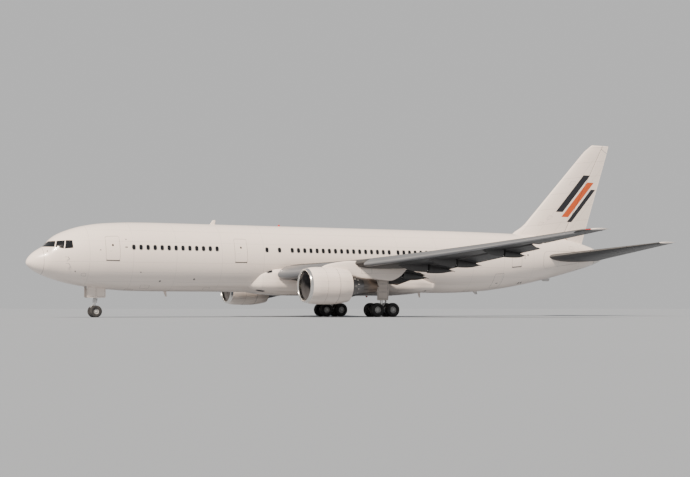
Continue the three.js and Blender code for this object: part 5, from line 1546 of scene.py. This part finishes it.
def build_main_gear():
    x, s, axle = MAIN_X, MAIN_S, MAIN_AXLE
    top = WING_SKIN.heights(x, s)[1]
    brace = (x, s, 1.78)
    leg = uprights(x, s, (1.5, top + 0.2, 0.19, 32), (1.62, 1.9, 0.25, 32), (1.47, 1.53, 0.2, 32),
                   (2.5, 2.62, 0.215, 32), (axle + 0.27, 1.6, 0.118, 32, 1),
                   (axle + 0.24, axle + 0.42, 0.15, 24))
    leg += rods(((x, s - 1.0, 3.0), (x, s + 0.45, 3.0), 0.16, 24), (brace, (2.8, s - 0.2, 3.25), 0.075, 20),
                (brace, (x, s - 1.7, 3.5), 0.07, 20), ((x - 0.9, s - 0.1, 2.5), (3.35, s - 0.5, 3.4), 0.05))
    leg += fork_link((x, s + 0.16, 1.62), (x, s + 0.42, 1.26), 0.13, 0.05, 0.028)
    leg += fork_link((x, s + 0.13, axle + 0.36), (x, s + 0.42, 1.24), 0.12, 0.05, 0.028)
    # Hoses down the leg, and the rings that hold them
    for dx, ds in ((0.14, 0.17), (-0.15, 0.16), (0.17, -0.14)):
        knots = ((1, 1, 2.9), (1.3, 1.3, 2.0), (1.5, 1.6, 1.45), (1.1, 1.3, 0.95))
        path = [(x + dx * a, s + ds * b, z) for a, b, z in knots]
        leg.append(tube(bend(path, 26), 0.014, 8, 2))
    leg += [hoop(z - 0.02, z + 0.02, 0.19, 0.205, centre=(x, s, 0), axis=2, sides=32)
            for z in (1.98, 2.3, 2.8)]
    pair("main_gear_leg_skin", leg, ["gear_paint", "chrome", "dark"])

    axles = (s - BOGIE_BASE / 2, s + BOGIE_BASE / 2)
    knots = ((axles[0] - 0.15, 0), (axles[0], 0), (s, 0.03), (axles[1], 0), (axles[1] + 0.15, 0))
    path = [(x, at, axle + rise) for at, rise in knots]
    thick = np.interp(np.linspace(0, 1, 24), [0, 0.06, 0.14, 0.5, 0.86, 0.94, 1],
                      [0.09, 0.14, 0.14, 0.155, 0.14, 0.14, 0.09])
    beam = [tube(bend(path, 24), thick, 28), *uprights(x, s, (axle, axle + 0.27, 0.12, 24)),
            crossbar((x, s, axle + 0.17), 0.16, 0.07),
            rod((x, s - 0.5, axle + 0.12), (x, s - 0.12, axle + 0.33), 0.035, 12, 1)]
    # The brakes' stacked discs, as distances from the wheel's middle and radii
    discs = [[0.2 + 0.012 * k + 0.006 * (k % 2), 0.222 + 0.013 * (k % 2)] for k in range(1, 9)]
    discs = [[0.2, 0.1], [0.2, 0.235], *discs, [0.31, 0.235], [0.31, 0.1]]
    for place in axles:
        beam.append(crossbar((x, place, axle), 0.23, 0.13, 28))
        beam += [lathe(np.multiply(discs, (sign, 1)), (x, place, axle), 0, 36, 2) for sign in (-1, 1)]
        beam.append(rod((x, place, axle - 0.17), (x, s + (place - s) * 0.12, axle - 0.12), 0.03, 12))
    pair("main_gear_bogie_skin", beam, ["gear_paint", "chrome", "brake"])

    for name, place in zip(("front", "rear"), axles):
        parts = [crossbar((x, place, axle), 0.58, 0.06, finish=1)]
        for beside in (-0.57, 0.57):
            parts += wheel(axle, 0.225, 0.27, (x + beside, place, axle), 10)
        wheels = f"main_wheels_{name}"
        pair(f"main_tyres_{name}", parts, WHEEL_FINISHES, wheels, wheels)

    def lift(across, up, level):
        return xyz(x + 0.3 + level - 0.05 * ((up - 2.3) / 0.95) ** 2, s - 0.02 + across, up)

    panels = [rounded(0.84, tall, 0.05, 4, 6) + [0, low + tall / 2]
              for low, tall in ((1.5, 0.5), (2.1, 0.55), (2.75, 0.35))]
    door = gear_door((1.04, 1.85, 0.09, 5, 10), 2.275, lift, panels, 0.016, 0.03, 0.034)
    door += [rod((x + 0.17, s, z), (x + 0.3, s, z), 0.035, 12, 1) for z in (1.8, 2.5)]
    for ds in (-0.42, 0.38):
        door += uprights(x + 0.27, s + ds, (1.6, 2.9, 0.018, 8, 1))
    door += [rod((x + 0.24, s + ds, z), (x + 0.33, s + ds, z), 0.014, 6, 1) for z in (1.42, 3.1)
             for ds in np.arange(-0.4, 0.41, 0.1)]
    pair("main_gear_door_skin", door, ["white", "gear_paint", "outline"])


def build_nose_gear():
    s, axle = NOSE_S, NOSE_AXLE
    leg = uprights(0, s, (1.13, 2.6, 0.135, 32), (1.13, 1.42, 0.17, 32))
    leg += [rod((0, s, 1.5), (0, s - 1.1, 2.85), 0.06, 20), crossbar((0, s, 2.1), 0.3, 0.07),
            crossbar((0, s - 0.1, 1.3), 0.17, 0.045, 16)]
    # Taxi lamps with their arms, and hoses
    for x in (-0.2, 0.2):
        leg += rods(((x, s - 0.06, 1.75), (x, s - 0.2, 1.75), 0.085, 24),
                    ((0, s, 1.75), (x, s - 0.08, 1.75), 0.025, 10))
        leg.append(dome((x, s - 0.2, 1.75), 0.075, 0.03, 1, -1, 2))
        hose = [(x * 0.6, s + 0.12, 2.5), (x * 0.75, s + 0.16, 1.8), (x * 0.6, s + 0.15, 1.3)]
        leg.append(tube(bend(hose, 18), 0.012, 8, 3))
    piece("nose_gear_leg_skin", leg, ["gear_paint", "chrome", "lamp", "dark"])
    fork = uprights(0, s, (axle - 0.02, 1.11, 0.092, 32, 1), (axle - 0.1, axle + 0.16, 0.12, 28))
    fork.append(crossbar((0, s, axle), 0.11, 0.1, 28))
    fork += fork_link((0, s - 0.1, 1.02), (0, s - 0.33, 0.8), 0.08, 0.035, 0.02)
    fork += fork_link((0, s - 0.1, 0.6), (0, s - 0.33, 0.78), 0.08, 0.035, 0.02)
    lug = [(0, s - 0.1, axle - 0.05), (0, s - 0.2, axle - 0.08), (0, s - 0.26, axle)]
    fork.append(tube(bend(lug, 10), 0.022, 10))
    piece("nose_gear_fork_skin", fork, ["gear_paint", "chrome"], "nose_steering",
          "nose_gear_steering")
    tyres = [crossbar((0, s, axle), 0.32, 0.046, finish=1)]
    for x in (-0.3, 0.3):
        tyres += wheel(axle, 0.17, 0.2, (x, s, axle), 8)
    piece("nose_tyres", tyres, WHEEL_FINISHES, "nose_wheels", "nose_wheels")

    def lift(across, up, level):
        return xyz(0.35 + level + 0.03 * ((up - 2.05) / 0.5) ** 2, s + across, up)

    panels = [rounded(0.62, 0.72, 0.07, 4, 6) + [ds, 1.98] for ds in (-0.36, 0.36)]
    door = gear_door((1.5, 1.02, 0.12, 5, 10), 2.03, lift, panels, 0.014, 0.026, 0.032)
    door += [rod((0.35, s + ds, 2.1), (0.22, s + ds, 2.45), 0.02, 10, 1) for ds in (-0.5, 0.5)]
    pair("nose_gear_door_skin", door, ["white", "gear_paint", "outline"])
    # The bay on the keel, drawn flat as a dark plate in a frame: painted shade for its opening
    bay = on_hull(5.375, angle=-np.pi / 2)
    outline = rounded(1.65, 0.68, 0.05, 4, 10)
    piece("nose_gear_bay", [plate(outline, bay, 0.006), rim(outline, 0.03, bay, 0.012, 1)], ["dark", "frame"])


# Stage

def aim(made, toward, axis):
    """Turns an object's own axis into a direction."""
    made.rotation_mode = "QUATERNION"
    made.rotation_quaternion = Vector(toward).to_track_quat(axis, "Y")


def build_stage():
    """A pale floor under an even pale sky, and one wide soft sun. The floor's colour is such that it is as
    bright in the sun and the sky's light as the sky itself, so no horizon shows."""
    size = 900.0
    corners = [[(-size, -size, 0), (size, -size, 0)], [(-size, size, 0), (size, size, 0)]]
    mesh = bpy.data.meshes.new("floor")
    points, faces, _ = grid(corners, wrap=False)
    mesh.from_pydata(points.tolist(), [], faces[0].tolist())
    floor = added("floor", mesh)
    net = Net("floor_finish")
    sky = np.array(SKY_COLOR) * SKY_STRENGTH
    sun = np.array(SUN_COLOR) * SUN_STRENGTH * np.sin(SUN_HEIGHT) / np.pi
    tone = (sky / (sky + sun)).tolist()
    mesh.materials.append(net.surface(varied(net, tone, 0.012, 0.2), 0.9))
    world = bpy.data.worlds.new("studio")
    world.use_nodes = True
    bpy.context.scene.world = world
    color, strength = world.node_tree.nodes["Background"].inputs[:2]
    color.default_value = (*SKY_COLOR, 1)
    strength.default_value = SKY_STRENGTH
    data = bpy.data.lights.new("sun", "SUN")
    data.energy = SUN_STRENGTH
    data.angle = np.radians(9)
    data.color = SUN_COLOR
    level = np.cos(SUN_HEIGHT)
    toward = (np.sin(SUN_AZIMUTH) * level, -np.cos(SUN_AZIMUTH) * level, np.sin(SUN_HEIGHT))
    aim(added("sun", data), toward, "Z")


def build_camera():
    place = np.array([np.sin(CAMERA_AZIMUTH) * CAMERA_DISTANCE, -np.cos(CAMERA_AZIMUTH) * CAMERA_DISTANCE,
                      CAMERA_HEIGHT])
    data = bpy.data.cameras.new("camera")
    data.lens = CAMERA_LENS
    data.clip_end = 2000
    camera = added("camera", data)
    camera.location = place
    aim(camera, (CAMERA_TARGET - place).tolist(), "-Z")
    bpy.context.scene.camera = camera


for build in (build_camera, build_stage, build_fuselage, build_windows, build_doors, build_panels,
              build_cockpit, build_fittings, build_belly, build_wings, build_wing_fittings, build_tail,
              build_cowls, build_core, build_fans, build_pylons, build_main_gear, build_nose_gear):
    build()
